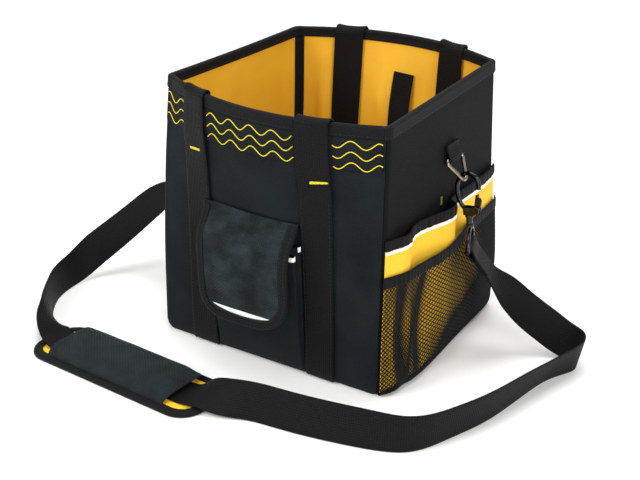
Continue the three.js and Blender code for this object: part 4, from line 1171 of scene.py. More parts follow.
@dataclass(frozen=True)
class CarryHandle:
    """Webbing handle: up the outside of a wall, over the rim and down inside to a hanging loop on edge."""

    side: Side
    left: Leg
    right: Leg
    bulge_height: float = 248.0
    bulge_spread: float = 20.0
    rim_reach: float = 5.5
    rim_rise: float = 3.7
    rim_centre: float = -1.83
    rim_drop: float = 0.4
    inside_out: float = -7.6
    loop_top: float = 170.0
    loop_drop: float = 76.0
    loop_reach: float = 19.5
    loop_join: float = 2.0
    foot: float = 3.0
    leg_top: float = 274.0
    inside_top: float = 268.0
    spacing: float = 3.0
    sewn: float = 200.0
    seam_inset: float = 2.5
    leg: Table = Table("z out", ((3, 2), (140, 2.5), (205, 2.4), (230, 3.2), (281, 3.7)))

    def leg_line(self, leg: Leg) -> tuple[Array, Array, Array]:
        """Place along the wall, height and distance from it along one leg, from its foot to the loop.

        Args:
            leg: Which leg.

        Returns:
            The three values at each point.
        """
        up = np.linspace(self.foot, self.leg_top, 80)
        bulge = leg.bulge * np.exp(-(((up - self.bulge_height) / self.bulge_spread) ** 2))
        angle = np.linspace(0, math.pi, 24)
        over = self.rim_centre + self.rim_reach * np.cos(angle)
        over_z = BODY.height - self.rim_drop + self.rim_rise * np.sin(angle)
        down = np.linspace(self.inside_top, self.loop_top + self.loop_join, 30)
        z = joined(up, over_z, down)
        out = joined(self.leg.at("out", up) + bulge, over, np.full(len(down), self.inside_out))
        lean = joined(up / BODY.height, np.ones(len(over) + len(down)))
        return leg.x + leg.lean * lean, z, out

    def line(self) -> tuple[Array, Array]:
        """Centre line and width direction; on the loop the width turns until it is square to the wall."""
        turn = np.linspace(0, math.pi, 61)
        start, end = (leg.x + leg.lean for leg in (self.left, self.right))
        middle, half = (start + end) / 2, (end - start) / 2
        edge = math.pi / 2 * np.sin(turn) ** 2
        run = unit(together(np.sin(turn) * half, -np.cos(turn) * self.loop_drop))
        left_x, left_z, left_out = self.leg_line(self.left)
        right_x, right_z, right_out = (v[::-1] for v in self.leg_line(self.right))
        still = np.zeros(len(left_z))
        x = joined(left_x, middle - half * np.cos(turn), right_x)
        z = joined(left_z, self.loop_top - self.loop_drop * np.sin(turn), right_z)
        out = joined(left_out, self.inside_out - self.loop_reach * np.sin(edge), right_out)
        flat_x = joined(still + 1, -run[:, 1], still - 1)[:, None]
        flat_z = joined(still, run[:, 0], still)[:, None]
        edge = joined(still, edge, still)[:, None]
        flat = BODY.wallwise(self.side, x, z) * flat_x + UP * flat_z
        wide = flat * np.cos(edge) + BODY.square(self.side, z) * np.sin(edge)
        centres, wide = evenly(BODY.panel_point(self.side, x, z, out), self.spacing, wide)
        return eased(centres, 1), eased(wide, 2)

    def build(self) -> None:
        """Makes the handle and the stitches along its edges."""
        name = self.side.name.lower()
        centres, wide = self.line()
        put(f"handle_{name}", [HANDLE.along(centres, wide)], WEBBING_BLACK, Fit((f"{name}_handle",)))
        sewn = round(self.sewn / self.spacing)
        rows = []
        for part in (slice(0, sewn), slice(-sewn, None)):
            outward = BODY.square(self.side, centres[part][:, 2])
            left, right, normal = HANDLE.edges(centres[part], wide[part], self.seam_inset, outward)
            rows += [SEAM.row(left, normal), SEAM.row(right, normal)]
        put(f"handle_{name}_stitches", rows, THREAD_BLACK)


@dataclass(frozen=True)
class InnerTab:
    """Webbing tab that hangs on the inside of the back wall."""

    hang: Table = Table(
        "z x off", ((160, 10.4, 3), (184, 9.6, 5.5), (206, 9, 4), (226, 9.4, 2.5), (241, 10, 1))
    )

    def build(self) -> None:
        """Makes the tab, from its sewn top to its free end."""
        z = np.linspace(self.hang.rows[-1][0], self.hang.rows[0][0], 40)
        x = self.hang.at("x", z)
        out = BODY.lining_face - GAP - TAB.thick / 2 - self.hang.at("off", z)
        centres = BODY.panel_point(Side.BACK, x, z, out)
        wide = BODY.wallwise(Side.BACK, x, z)
        put("tab_inside", [TAB.along(centres, wide)], WEBBING_BLACK, Fit(("inner_tab",)))


@dataclass
class FrontPouch:
    """Bellows pocket on the front wall with its bound, padded flap."""

    lean: float = 7.0
    centre: float = -4.5
    half: float = 52.2
    thick: float = 1.6
    side_lift: float = 0.7
    strip: Span = (144.4, 149.8)
    strip_lift: float = 0.5
    strip_spans: Pairs = ((-0.99, -0.93), (-0.68, 0.68), (0.93, 0.99))
    mouth_dip: float = 8.0
    depth: Table = Table("z depth", ((6, 0.4), (13, 1.6), (27, 4.4), (60, 8.4), (102, 12), (150, 13.5)))
    tuck: Table = Table("z tuck", ((6, 0), (40, 1), (95, 5), (150, 9)))
    section: Table = Table(
        "place back share notch",
        (
            (0, 52.2, 1, 0), (0.56, 5.5, 1, 0), (0.61, 2.2, 0.96, -0.27), (0.65, 1.4, 0.84, -0.3),
            (0.79, 0.9, 0.5, 0.97), (0.83, 0.8, 0.42, 0.97), (0.95, 0, 0.1, 0.08), (1, -0.8, 0, 0),
        ),
    )
    fall: Table = Table(
        "z out",
        (
            (172, 0.35), (166, 3.6), (157, 10), (148, 16.5), (138, 20.6),
            (122, 22.6), (98, 23), (78, 22.4), (52.6, 20.2), (47, 19.6),
        ),
    )
    flap_centre: float = -9.7
    flap_half: float = 53.6
    flap_width: Table = Table("run half", ((0, 56), (35, 54.4), (70, 53.4), (124, 53.2)))
    corners: Span = (27.0, 43.0)
    flap_thick: float = 2.2
    crown_drop: float = 1.5
    lift: float = 3.45
    lift_over: Span = (42.0, 48.0)
    lift_run: float = 9.0
    bind: FoldedTape = FoldedTape(8.4, 0.8, 0.25, 0.6, 0.4)
    bind_start: float = 2.0
    bind_seams: Span = (1.8, 1.4)
    seam_lift: float = 0.15
    crescent_ends: Span = (-37.0, 33.0)
    crescent_inset: Span = (11.4, 17.4)
    crescent_lift: float = 0.35
    crescent_edge: float = 0.2
    lumps: Rows = (
        (0, 64, 42, 46, 3.0), (-19, 73, 15, 12, 4.4), (-4, 27, 44, 12, 3.6), (-14, 49, 18, 5, -3.6),
        (10, 47, 16, 5, -3.0), (27, 58, 8, 9, -2.8), (20, 72, 8, 8, -3.4), (12, 84, 8, 8, -3.6),
        (2, 93, 9, 6, -2.6), (32, 92, 13, 13, 3.0), (38, 60, 9, 18, 1.6), (-30, 98, 12, 8, -1.8),
    )
    run: Table = field(init=False)
    length: float = field(init=False)

    def __post_init__(self) -> None:
        """Works out the flap's running length from its fall."""
        run = running(np.array(self.fall.rows))
        self.run = Table("run z out", tuple((r, *row) for r, row in zip(run, self.fall.rows)))
        self.length = float(run[-2])

    def pocket_face(self, z: Array, place: Array, off: float) -> Array:
        """Outer face of the pocket: flat in front, then two side folds that tuck in between it and the wall.

        Its mouth dips where it stands away from the wall.

        Args:
            z: Height.
            place: From -1 at the left seam to 1 at the right one.
            off: Distance outside the face.

        Returns:
            The points.
        """
        side = np.abs(place)
        read = lambda column: self.section.at(column, side)
        away = self.half - read("back") - self.tuck.at("tuck", z) * read("notch")
        out = GAP + self.thick + self.depth.at("depth", z) * read("share")
        z = z - self.mouth_dip * read("share") * (z / self.strip[1]) ** 2
        x = self.centre + self.leaning(z) + np.sign(place) * (away + self.side_lift * off * side)
        return BODY.panel_point(Side.FRONT, x, z, out + off)

    def leaning(self, z: Array) -> Array:
        """Shift to the right with height, as the corners of the front lean."""
        return self.lean * z / BODY.height

    def pocket(self) -> None:
        """Pocket cloth and the reflective strip along its mouth."""
        across = joined(-np.linspace(1, 0, 61), np.linspace(0, 1, 61)[1:])
        foot, mouth = self.depth.rows[0][0], self.depth.rows[-1][0]
        z, place = grid(np.linspace(foot, mouth, 50), across)
        cloth = sheet(self.pocket_face(z, place, 0.0))
        made = put("pocket_front", [cloth], NYLON, Fit(("pouch_pocket",), cloth=1.0, crease=60))
        strips = []
        for ends in self.strip_spans:
            z, place = grid(np.linspace(*self.strip, 6), np.linspace(*ends, 61))
            strips.append(sheet(self.pocket_face(z, place, self.strip_lift)))
        put("pocket_reflective", strips, REFLECTIVE, Fit(("pouch_reflective",), cloth=0.4, crease=60))

    def half_width(self, run: Array, right: Array | bool) -> Array:
        """Half width of the flap on one side: slowly less from its seam, then taken in by a round corner.

        Args:
            run: Distance down the flap.
            right: Whether it is the right side.

        Returns:
            The half width.
        """
        corner = np.where(right, self.corners[1], self.corners[0])
        into = np.clip((run - self.length + corner) / corner, 0, 1)
        return self.flap_width.at("half", run) - corner * (1 - np.sqrt(1 - into**2))

    def flap_point(self, x: Array, run: Array, off: Array | float) -> Array:
        """Point of the flap.

        Args:
            x: Distance across from its middle.
            run: Distance down it from its seam.
            off: Height above its underside.

        Returns:
            The points.
        """
        step = 0.5
        ahead, back = run + step, np.maximum(run - step, 0)
        rise = self.run.at("out", ahead) - self.run.at("out", back)
        fall = self.run.at("z", back) - self.run.at("z", ahead)
        size = np.hypot(rise, fall)
        share = np.minimum(np.abs(x) / self.flap_half, 1)
        crown = self.crown_drop * share**3 * np.clip(run / self.length, 0, 1)
        first, last = self.lift_over
        over = np.clip((-x - first) / (last - first), 0, 1) * np.clip(1 - run / self.lift_run, 0, 1)
        out = self.run.at("out", run) + fall / size * off - crown + self.lift * over
        z = self.run.at("z", run)
        x = self.flap_centre + self.leaning(z) + x
        return BODY.panel_point(Side.FRONT, x, z + rise / size * off, out)

    def flap_face(self, x: Array, run: Array) -> Array:
        """Height of the flap's padded face: soft round lumps and hollows that die out at its edge.

        Args:
            x: Distance across from its middle.
            run: Distance down it from its seam.

        Returns:
            Height above its underside.
        """
        share = np.clip(np.abs(x) / self.half_width(run, x > 0), 0, 1)
        calm = (1 - share**6) * np.sin(math.pi * np.clip(run / self.length, 0, 1)) ** 0.5
        cx, cr, wide, high, size = (np.array(column)[:, None, None] for column in zip(*self.lumps))
        lump = (size * np.exp(-(((x - cx) / wide) ** 2) - ((run - cr) / high) ** 2)).sum(0)
        return self.flap_thick + calm * lump

    def side_edge(self, right: bool) -> tuple[Array, ...]:
        """One side of the flap's free edge, from its seam to its middle: x, run and the direction inward.

        Args:
            right: Whether it is the right side.

        Returns:
            X, run and both parts of the direction at each point.
        """
        corner, sign = self.corners[right], 1 if right else -1
        square = self.length - corner
        run = np.linspace(self.bind_start, square, 40)[:-1]
        angle = np.linspace(0, math.pi / 2, 24)
        turn = square + corner * np.sin(angle)
        bottom = np.linspace(self.half_width(turn, right)[-1], 0, 10)[1:]
        x = joined(self.half_width(run, right), self.half_width(turn, right), bottom)
        down = joined(run, turn, np.full(len(bottom), self.length))
        in_x = -joined(np.ones(len(run)), np.cos(angle), np.zeros(len(bottom)))
        in_run = -joined(np.zeros(len(run)), np.sin(angle), np.ones(len(bottom)))
        return sign * x, down, sign * in_x, in_run

    def edge(self) -> tuple[Array, ...]:
        """The flap's free edge as x, run and the direction inward, from its left seam round to its right."""
        sides = zip(self.side_edge(False), self.side_edge(True))
        return tuple(joined(left, right[-2::-1]) for left, right in sides)

    def on_edge(self, inset: Array, off: Array) -> Array:
        """Points at each inset from the free edge, edge places by insets."""
        x, run, in_x, in_run = (values[:, None] for values in self.edge())
        return self.flap_point(x + in_x * inset, run + in_run * inset, off)

    def flap(self) -> None:
        """Padded flap: rows down its run, each as wide as the flap is there."""
        bend = np.linspace(0, math.pi / 2, 24)
        corner = max(self.corners)
        square = self.length - corner
        rows = joined(np.linspace(0, square, 50)[:-1], square + corner * np.sin(bend))
        run, across = grid(rows, np.sin(np.linspace(-1, 1, 61) * math.pi / 2))
        x = across * self.half_width(run, across > 0)
        face = self.flap_point(x, run, self.flap_face(x, run))
        cloth = sheet(face)
        # A lighter copy of the cloth, with painted light and shade in soft patches.
        made = put("flap_cloth", [cloth], NYLON_PADDED_LIT, Fit(("pouch_flap",), cloth=self.flap_thick))

    def binding(self) -> None:
        """Tape folded over the flap's free edge: its section carried along it, with two rows of stitches."""
        tape = tube(closed_ends(self.on_edge(*self.bind.section(0.0, self.flap_thick))))
        put("flap_tape", [tape], TAPE_BLACK, Fit(("flap_binding",), crease=60))
        top = self.flap_thick + GAP + self.bind.thick
        outer, inner = self.bind_seams
        rows = []
        for inset in (outer, self.bind.width - inner):
            line = self.on_edge(np.array([inset, inset]), np.array([top + self.seam_lift, top + 1]))
            rows.append(SEAM.row(line[:, 0], line[:, 1] - line[:, 0]))
        put("flap_stitches", rows, THREAD_BLACK)

    def reflective(self) -> None:
        """White crescent above the bottom binding: straight above, and below a bow along the binding."""
        low, high = self.crescent_inset
        share, depth = grid(np.linspace(0, 1, 41), np.linspace(0, 1, 6))
        start, end = self.crescent_ends
        bow = (high - low) * (4 * share * (1 - share)) ** 0.8
        x = start + (end - start) * share
        run = self.length - high + bow * (1 - depth) + self.crescent_edge * depth
        face = self.flap_point(x, run, self.flap_face(x, run) + self.crescent_lift)
        crescent = sheet(face)
        put("flap_crescent", [crescent], REFLECTIVE, Fit(("flap_reflective",), cloth=0.3))

    def build(self) -> None:
        """Makes all of its pieces."""
        self.pocket()
        self.flap()
        self.binding()
        self.reflective()


@dataclass(frozen=True)
class SidePockets:
    """Right side: gathered yellow pocket with piping and tape, and the net pocket in front of it."""

    thick: float = 1.0
    top: float = 158.6
    low: float = 3.0
    foot: tuple[float, ...] = (0.0, 0.1, 0.4, 1.0, 2.0)
    seam: float = 4.0
    piping: Span = (154.8, 158.3)
    piping_half: float = 0.45
    tape: Span = (158.95, 169.4)
    tape_off: Span = (-0.2, 2.0)
    ruffle: float = 0.22
    ruffles: Rows = ((7.7, 2.0, 1.0), (4.9, 0.0, 0.7))
    pleat_depth: float = 0.22
    pleat_fade: float = 16.0
    pleat_waves: Rows = ((9.7, 0.0, 1.0), (15.9, 1.0, 0.6))
    band: Span = (120.4, 132.5)
    band_thick: float = 1.6
    band_ruffle: float = 0.2
    band_ruffles: Rows = ((5.3, 0.0, 1.0), (8.7, 0.0, 0.6))
    ends: Span = (-119.0, 114.0)
    front_inset: float = 2.0
    rear_inset: float = 9.0
    rear_below: Span = (118.0, 16.0)
    net_ends: Span = (-121.0, 117.0)
    corner_inset: float = 5.5
    cell_height: float = 4.8
    turn_steps: int = 2
    knot: float = 0.06
    weave: float = 0.25
    yarn: float = 0.64
    spaced_at: float = 60.0
    # Place, width and crowding: two real folds, then the net's far part, crowded so that it reads dark in
    # place of its shade
    valley_and_shade_crowds: Rows = ((-101.0, 4.5, 2.0), (-70.0, 5.0, 1.7), (82.0, 28.0, 0.8))
    pinch: Triple = (-87.0, 15.0, 0.75)
    pinch_below: Span = (78.0, 62.0)
    gather: Table = Table(
        "y bulge",
        (
            (-119, 0.4), (-113, 2.2), (-106, 5), (-99, 8), (-88, 9), (-77, 5), (-64, 3.5), (-42, 8),
            (-14, 15), (-4, 14), (3, 5), (16, 2), (40, 3.5), (78, 4.5), (101, 3), (114, 0.4),
        ),
    )
    rise: Table = Table("z rise", ((3, 0), (70, 0.35), (130, 0.95), (159, 1)))
    follow: Table = Table("y share", ((-119, 0), (-112, 0.9), (24, 1), (62, 0.15), (114, 0)))
    behind: float = 4.6
    cell_width: Table = Table(
        "y width",
        ((-121, 4.4), (-100, 4.6), (-82, 5.4), (-57, 6.6), (-30, 7.4), (20, 8.2), (60, 6.0), (117, 4.4)),
    )
    folds: Table = Table(
        "y low mid top",
        (
            (-121, 0.8, 0.8, 0.8), (-115, 4, 4.6, 4), (-109, 8.6, 9.4, 6.6), (-101, 11, 6, 10.2),
            (-95, 11, 9, 12), (-88, 11.6, 13, 12.9), (-80, 14, 12.5, 13.2), (-70, 15, 9.5, 14.6),
            (-57, 15.2, 15.6, 15.8), (-44, 14.6, 19.4, 18.2), (-25, 13.5, 22, 19), (5, 11, 20, 15),
            (40, 8.6, 16, 9), (75, 6.5, 13, 7.5), (102, 4.5, 10, 6), (112, 3, 6, 4), (117, 1.2, 1.2, 1.2),
        ),
    )
    levels: Triple = (12.0, 65.0, 120.0)
    net_rows: Pairs = (
        (1.2, 0.04), (1.2, 0.55), (2.4, 0.86), (6, 0.98), (14, 1), (45, 1), (80, 1), (120.6, 1),
    )
    hem_rows: Pairs = (
        (1, 0.02), (1, 0.3), (1, 0.62), (1.6, 0.84), (2.6, 0.95), (4.2, 1), (5.6, 1),
    )
    hem_inset: float = 0.3

    def gathered(self, y: Array, z: Array) -> Array:
        """Distance of the yellow pocket's inner face from the wall: near the net below, gathered above.

        Args:
            y: Place along the wall.
            z: Height.

        Returns:
            The distance.
        """
        rise = self.rise.at("rise", z)
        filled = np.maximum(self.bulge(y, z) - self.behind, 0) * self.follow.at("share", y)
        seam = np.clip((z - self.low) / self.seam, 0, 1) ** 0.4
        return GAP + (self.gather.at("bulge", y) * rise + filled * (1 - rise)) * seam

    def pleats(self, y: Array, z: Array) -> Array:
        """Small pleats under the tape, dying out downward."""
        fade = np.exp(-(self.top - np.minimum(z, self.top)) / self.pleat_fade)
        return self.pleat_depth * ripple(y, self.pleat_waves) * fade

    def bulge(self, y: Array, z: Array) -> Array:
        """Bulge of the net: its three levels blended by height with the same curve as a table.

        Args:
            y: Place along the wall.
            z: Height.

        Returns:
            Distance from the wall.
        """
        low, mid, top = (self.folds.at(level, y) for level in ("low", "mid", "top"))
        z0, z1, z2 = self.levels
        first, second = (mid - low) / (z1 - z0), (top - mid) / (z2 - z1)
        slope = mean_slope(first, second)
        above = z > z1
        ends = np.where(above, mid, low), np.where(above, top, mid)
        slopes = np.where(above, slope, first), np.where(above, second, slope)
        span = np.where(above, z2 - z1, z1 - z0)
        return cubic(ends, slopes, span, np.clip((z - np.where(above, z1, z0)) / span, 0, 1))

    def yellow(self) -> None:
        """Pocket cloth, white piping and gathered tape along its mouth."""
        rows = np.linspace(self.low + self.seam, self.top, 48)
        z, y = grid(joined(self.low + np.array(self.foot), rows), np.linspace(*self.ends, 200))
        below, fade = self.rear_below
        rear = self.ends[1] - self.rear_inset * np.clip((below - z) / fade, 0, 1)
        y = np.clip(y, self.corner_start(z) + self.front_inset, rear)
        face = BODY.panel_point(Side.RIGHT, y, z, self.gathered(y, z) + self.pleats(y, z) + self.thick)
        cloth = sheet(face)
        made = put("pocket_side", [cloth], POCKET, Fit(("side_pocket",), cloth=self.thick))
        bend = np.linspace(0, TURN, 12, endpoint=False)
        low, high = self.piping
        heights = (low + high) / 2 + (high - low) / 2 * np.sin(bend)
        offs = self.thick + GAP + self.piping_half + self.piping_half * np.cos(bend)
        put("pocket_side_piping", [self.strip(heights, offs, 0.0)], REFLECTIVE, Fit(("side_pocket_piping",)))
        low, high = self.tape
        inner, outer = self.tape_off
        heights = [low, *np.linspace(low + 2, high - 2, 4), high - 0.4, high, high - 0.4, high - 2, low]
        offs = [outer, *(outer + 0.3,) * 4, outer - 0.3, (inner + outer) / 2, inner + 0.3, inner, inner]
        tape = self.strip(np.array(heights), np.array(offs), self.ruffle)
        put("pocket_side_tape", [tape], TAPE_BLACK, Fit(("side_pocket_binding",), crease=70))

    def strip(self, heights: Array, offs: Array, ruffle: float) -> Surface:
        """Closed section of heights and distances carried along the yellow pocket's mouth.

        Args:
            heights: Height of each point of the section.
            offs: Its distance from the pocket's inner face.
            ruffle: Depth of the small gathers.

        Returns:
            The closed surface.
        """
        y, z = grid(np.linspace(*self.ends, 260), heights)
        off = np.broadcast_to(offs, y.shape)
        wave = ruffle * ripple(y, self.ruffles) * (off > offs.mean())
        rings = BODY.panel_point(Side.RIGHT, y, z, self.gathered(y, z) + self.pleats(y, z) + off + wave)
        return tube(closed_ends(rings))

    def strand_places(self) -> Array:
        """Place along the wall of each strand: two to a cell along the bulging net, closer in its folds, and
        closer over its far part as a dark mass standing in for its shade.
        """
        y = np.linspace(*self.net_ends, 400)
        line = BODY.panel_point(Side.RIGHT, y, self.spaced_at, self.bulge(y, np.full(len(y), self.spaced_at)))
        crowd = 1 + sum(more * np.exp(-(((y - place) / wide) ** 2)) for place, wide, more in self.valley_and_shade_crowds)
        density = crowd / self.cell_width.at("width", y)
        cells = np.cumsum(np.diff(running(line)) * (density[1:] + density[:-1]) / 2)
        measure = joined([0.0], cells)
        return np.interp(np.linspace(0, measure[-1], round(2 * measure[-1]) + 1), measure, y)

    def net(self) -> None:
        """Diamond net: yarns run up in zigzags, each touching its neighbours at every turn."""
        heights, tucks = np.array(self.net_rows).T
        out = tucks * self.bulge(np.zeros(len(heights)), heights)
        length = running(BODY.panel_point(Side.RIGHT, 0.0, heights, out))
        places = self.strand_places()
        turns = round(length[-1] / (self.cell_height / 2))
        v = np.linspace(0, length[-1], turns * self.turn_steps + 1)
        strand, along = grid(np.arange(len(places) - 1), np.arange(len(v)))
        phase = along / self.turn_steps + strand % 2
        zigzag = np.abs((phase + 1) % 2 - 1)
        y = places[strand] + (self.knot + (1 - 2 * self.knot) * zigzag) * np.diff(places)[strand]
        z = np.interp(v, length, heights)[along]
        at, wide, share = self.pinch
        below, fade = self.pinch_below
        share = share * np.clip((below - z) / fade, 0, 1)
        y = at + (y - at) * (1 - share * np.exp(-(((y - at) / wide) ** 2)))
        y = np.maximum(y, self.corner_start(z))
        lift = GAP + self.thick / 2 + self.weave * np.sin(math.pi * phase)
        tuck = np.interp(v, length, tucks)[along]
        centres = BODY.panel_point(Side.RIGHT, y, z, lift + self.bulge(y, z) * tuck)
        forward = unit(np.gradient(centres, axis=1))
        side = unit(np.cross(forward, BODY.square(Side.RIGHT, np.array(self.spaced_at))))
        face = np.cross(side, forward)
        ring = circle(self.yarn, 5)
        tubes = centres[:, :, None] + side[:, :, None] * ring[:, :1] + face[:, :, None] * ring[:, 1:]
        put("net_pocket", [alike(tubes, tubes[0])], NET_YARN, Fit(("mesh_pocket",), crease=180))

    def corner_start(self, z: Array) -> Array:
        """Where the net starts beside the front corner, further in where that corner rounds off below."""
        return self.net_ends[0] + self.corner_inset * (1 - np.clip(z / BODY.edge_height, 0, 1)) ** 2

    def hem(self) -> None:
        """Bottom of the net pocket in close cloth: up from under the bag, over its lower edge."""
        heights, tucks = np.array(self.hem_rows).T
        z, y = grid(heights, np.linspace(*self.net_ends, 200))
        y = np.maximum(y, self.corner_start(z))
        full = self.bulge(y, np.full(y.shape, self.levels[0])) - self.hem_inset
        face = BODY.panel_point(Side.RIGHT, y, z, GAP + full * tucks[:, None])
        # Cut from the darker copy of the cloth, partly painted shade of the right wall.
        put("net_hem", [sheet(face)], NYLON_BLACK_SHADED, Fit(("mesh_pocket",), cloth=0.6))

    def elastic(self) -> None:
        """Gathered elastic band along the net's mouth."""
        low, high = self.band
        heights = np.array([low, *np.linspace(low + 1.5, high - 1.5, 5), high, high - 0.3, low + 0.3])
        offs = np.array([0.8, *(self.band_thick + 0.2,) * 5, 0.9, 0.0, 0.0])
        y, z = grid(np.linspace(*self.net_ends, 260), heights)
        wave = self.band_ruffle * ripple(y, self.band_ruffles) * (offs > 0)
        rings = BODY.panel_point(Side.RIGHT, y, z, GAP + self.bulge(y, z) + offs + wave)
        put("net_elastic", [tube(closed_ends(rings))], TAPE_BLACK, Fit(("mesh_binding",), crease=70))

    def build(self) -> None:
        """Makes all of its pieces."""
        self.yellow()
        self.net()
        self.hem()
        self.elastic()


@dataclass(frozen=True)
class Placement:
    """Frame of a piece: its origin and the directions of its own x, y and z."""

    origin: Array
    axes: Array

    def __call__(self, points: Array) -> Array:
        """Points of this frame in the frame around it."""
        return points @ self.axes + self.origin

    def within(self, outer: "Placement") -> "Placement":
        """This frame as seen from outside another that holds it."""
        return Placement(outer(self.origin), self.axes @ outer.axes)

    def turned(self, way: Array, line: Array) -> Array:
        """A direction of this frame as seen from outside, once for each point of a line."""
        return np.broadcast_to(way, line.shape) @ self.axes

    def wire(self, line: Array, way: Array, radius: float, closed: bool = True, sides: int = 14) -> Surface:
        """Round wire along a line of this frame, with a direction square to it."""
        return carried(self(line), self.turned(way, line), circle(radius, sides), closed)


@dataclass
class HookRig:
    """Tab, wire ring and snap hook on one side, in its own frame: p outward, y along the wall, q upward."""

    side: Side
    turn: float
    pitch: float
    wall_y: float = 8.0
    wall_z: float = 212.0
    tilt: float = 6.0
    hook_p: float = 24.5
    hook_q: float = -55.0
    tab_cloth: Webbing = Webbing(25.0, 1.6)
    tab_ends: Triple = (15.0, 2.0, 10.5)
    tab_hole: float = 2.6
    tab_gap: float = 0.05
    bar_out: float = 4.55
    ring_wire: float = 2.0
    ring_hang: float = 33.0
    hook_wire: float = 2.2
    eye_wire: float = 2.0
    eye_bar: float = -36.0
    barrel: float = 4.2
    barrel_ends: Span = (-1.0, -15.0)
    closed_barrel_ends: Span = (2.0, -16.5)
    collar: float = 3.0
    collar_edge: Span = (1.0, 0.8)
    neck: Span = (0.9, 0.6)
    pivot: Span = (8.5, 4.5)
    pin_half: float = 3.9
    pin_radius: float = 1.3
    boss_share: float = 0.4
    boss_radius: float = 2.9
    bar_edge: float = 0.5
    bar_round: float = 0.35
    ring_outline: Pairs = (
        (-13, 0), (0, 0), (13, 0), (15, 3), (9, 14), (3.5, 23), (0, 24.4), (-3.5, 23), (-9, 14), (-15, 3),
    )
    bow: Pairs = (
        (0, 1), (-5.5, 5), (-10, 12), (-12, 21), (-11, 31), (-6, 38.5), (1, 41.5), (8, 39), (11.7, 32.5),
        (12, 26),
    )
    closing: Pairs = ((10.5, 14), (6, 3))
    lug: Pairs = (
        (-5, -2), (6, -2), (12, 1.5), (12, 6.5), (9, 8.5), (4, 6.5), (-5, 6.5),
    )
    lug_spans: Pairs = ((-3.5, -1.95), (1.95, 3.5))
    block: Pairs = ((-5, -2), (4.6, -2), (4.6, 6.5), (-5, 6.5))
    block_half: float = 3.4
    block_edge: float = 0.6
    gate: Pairs = (
        (5.9, 4.5), (10.9, 4.5), (11.4, 6.8), (14.6, 8.2), (15.2, 10.8), (13.2, 12.6), (11.9, 12.4),
        (13.5, 23.4), (10, 24.2),
    )
    gate_half: float = 1.6
    eye_half: Pairs = (
        (4.5, -17.4), (13, -19.5), (20, -24), (22.8, -29.5), (22.3, -33.8), (19.6, -36),
    )
    rig: Placement = field(init=False)
    hook: Placement = field(init=False)

    def __post_init__(self) -> None:
        """Places the rig on its wall and the hook below it, leaning out."""
        sign = 1 if self.side is Side.RIGHT else -1
        origin = BODY.panel_point(self.side, self.wall_y, self.wall_z, 0.0, False)
        self.rig = Placement(origin, np.diag([sign, sign, 1.0]))
        c, s = math.cos(math.radians(self.tilt)), math.sin(math.radians(self.tilt))
        axes = np.array([[c, 0, s], [0, 1, 0], [-s, 0, c]])
        self.hook = Placement(np.array([self.hook_p, 0, self.hook_q]), axes).within(self.rig)

    @property
    def word(self) -> str:
        """Name of the side."""
        return self.side.name.lower()

    @property
    def eye_way(self) -> Array:
        """Direction of the eye's bar in the hook's frame."""
        return np.array([-math.sin(self.turn), math.cos(self.turn), 0])

    def tab(self) -> None:
        """Webbing folded round the ring's upper bar: down the wall, round the bar and up again."""
        cloth = self.tab_cloth
        top, low, join = self.tab_ends
        radius = self.tab_hole + cloth.thick / 2
        back, front = GAP + cloth.thick / 2, GAP + 1.5 * cloth.thick + self.tab_gap
        down = [(back, q) for q in np.linspace(top, low, 8)]
        bend = np.linspace(math.pi, TURN, 20)
        round_bar = [(self.bar_out + radius * math.cos(a), radius * math.sin(a)) for a in bend]
        up = [(front, q) for q in np.linspace(join, top, 4)]
        line = eased(evenly(upright(down + round_bar + up), 1.2)[0], 2)
        made = cloth.along(self.rig(line), self.rig.turned(SIDEWAYS, line))
        put(f"ring_tab_cloth_{self.word}", [made], WEBBING_BLACK, Fit((f"ring_tab_{self.word}",)))

    def ring(self) -> None:
        """Triangular wire ring hanging out from the tab."""
        hang = math.radians(self.ring_hang)
        down = np.array([math.sin(hang), 0, -math.cos(hang)])
        y, d = np.array(self.ring_outline, float).T
        corners = together(self.bar_out, y, 0.0) + d[:, None] * down
        wire = self.rig.wire(smooth_line(corners, True, 90), np.cross(down, SIDEWAYS), self.ring_wire)
        put(f"ring_wire_{self.word}", [wire], NICKEL, Fit((f"ring_{self.word}",), crease=180))

    def bar(self, rows: Pairs, low: float, high: float, edge: float) -> Surface:
        """Flat bar cut to an outline in the hook's plane, with its corners and its long edges eased.

        Args:
            rows: Corners of the outline.
            low: Where it starts along y.
            high: Where it ends along y.
            edge: How far its edges are eased.

        Returns:
            The closed surface in the part's frame.
        """
        outline, steps = upright(rows), 8
        t = np.arange(steps)[None, :, None] / steps
        sharp = outline[:, None] * (1 - t) + np.roll(outline, -1, 0)[:, None] * t
        smooth = smooth_line(outline, True, steps * len(outline))
        line = smooth * self.bar_round + sharp.reshape(-1, 3) * (1 - self.bar_round)
        inner = line + unit(line.mean(0) - line) * edge
        levels = [(inner, low), (line, low + edge), (line, high - edge), (inner, high)]
        rings = np.stack([ring + SIDEWAYS * y for ring, y in levels])
        return tube(self.hook(closed_ends(rings)))

    def swivel(self, top: float, low: float) -> Surface:
        """Barrel of the swivel with a collar at each end, turned about the hook's own upright axis.

        Args:
            top: Its upper end.
            low: Its lower end.

        Returns:
            The closed surface in the part's frame.
        """
        r, far = self.barrel, self.collar
        flat, fall = self.collar_edge
        waist, step = self.neck
        half = [(0, 0), (r - flat, 0), (r, fall), (r, far), (r - waist, far + step)]
        rows = [(size, top - down) for size, down in half]
        rows += [(size, low + up) for size, up in half[::-1]]
        radius, q = np.array(rows, float).T
        return tube(self.hook(at_height(radius[:, None, None] * circle(1.0, 24), q[:, None])))

    def eye(self) -> Surface:
        """Wire eye for the strap, turned on the swivel."""
        half = np.array(self.eye_half, float)
        outline = joined(half, [[0, self.eye_bar]], half[::-1] * [-1, 1])
        points = outline[:, :1] * self.eye_way + outline[:, 1:] * UP
        return self.hook.wire(smooth_line(points, True, 100), np.cross(self.eye_way, UP), self.eye_wire)

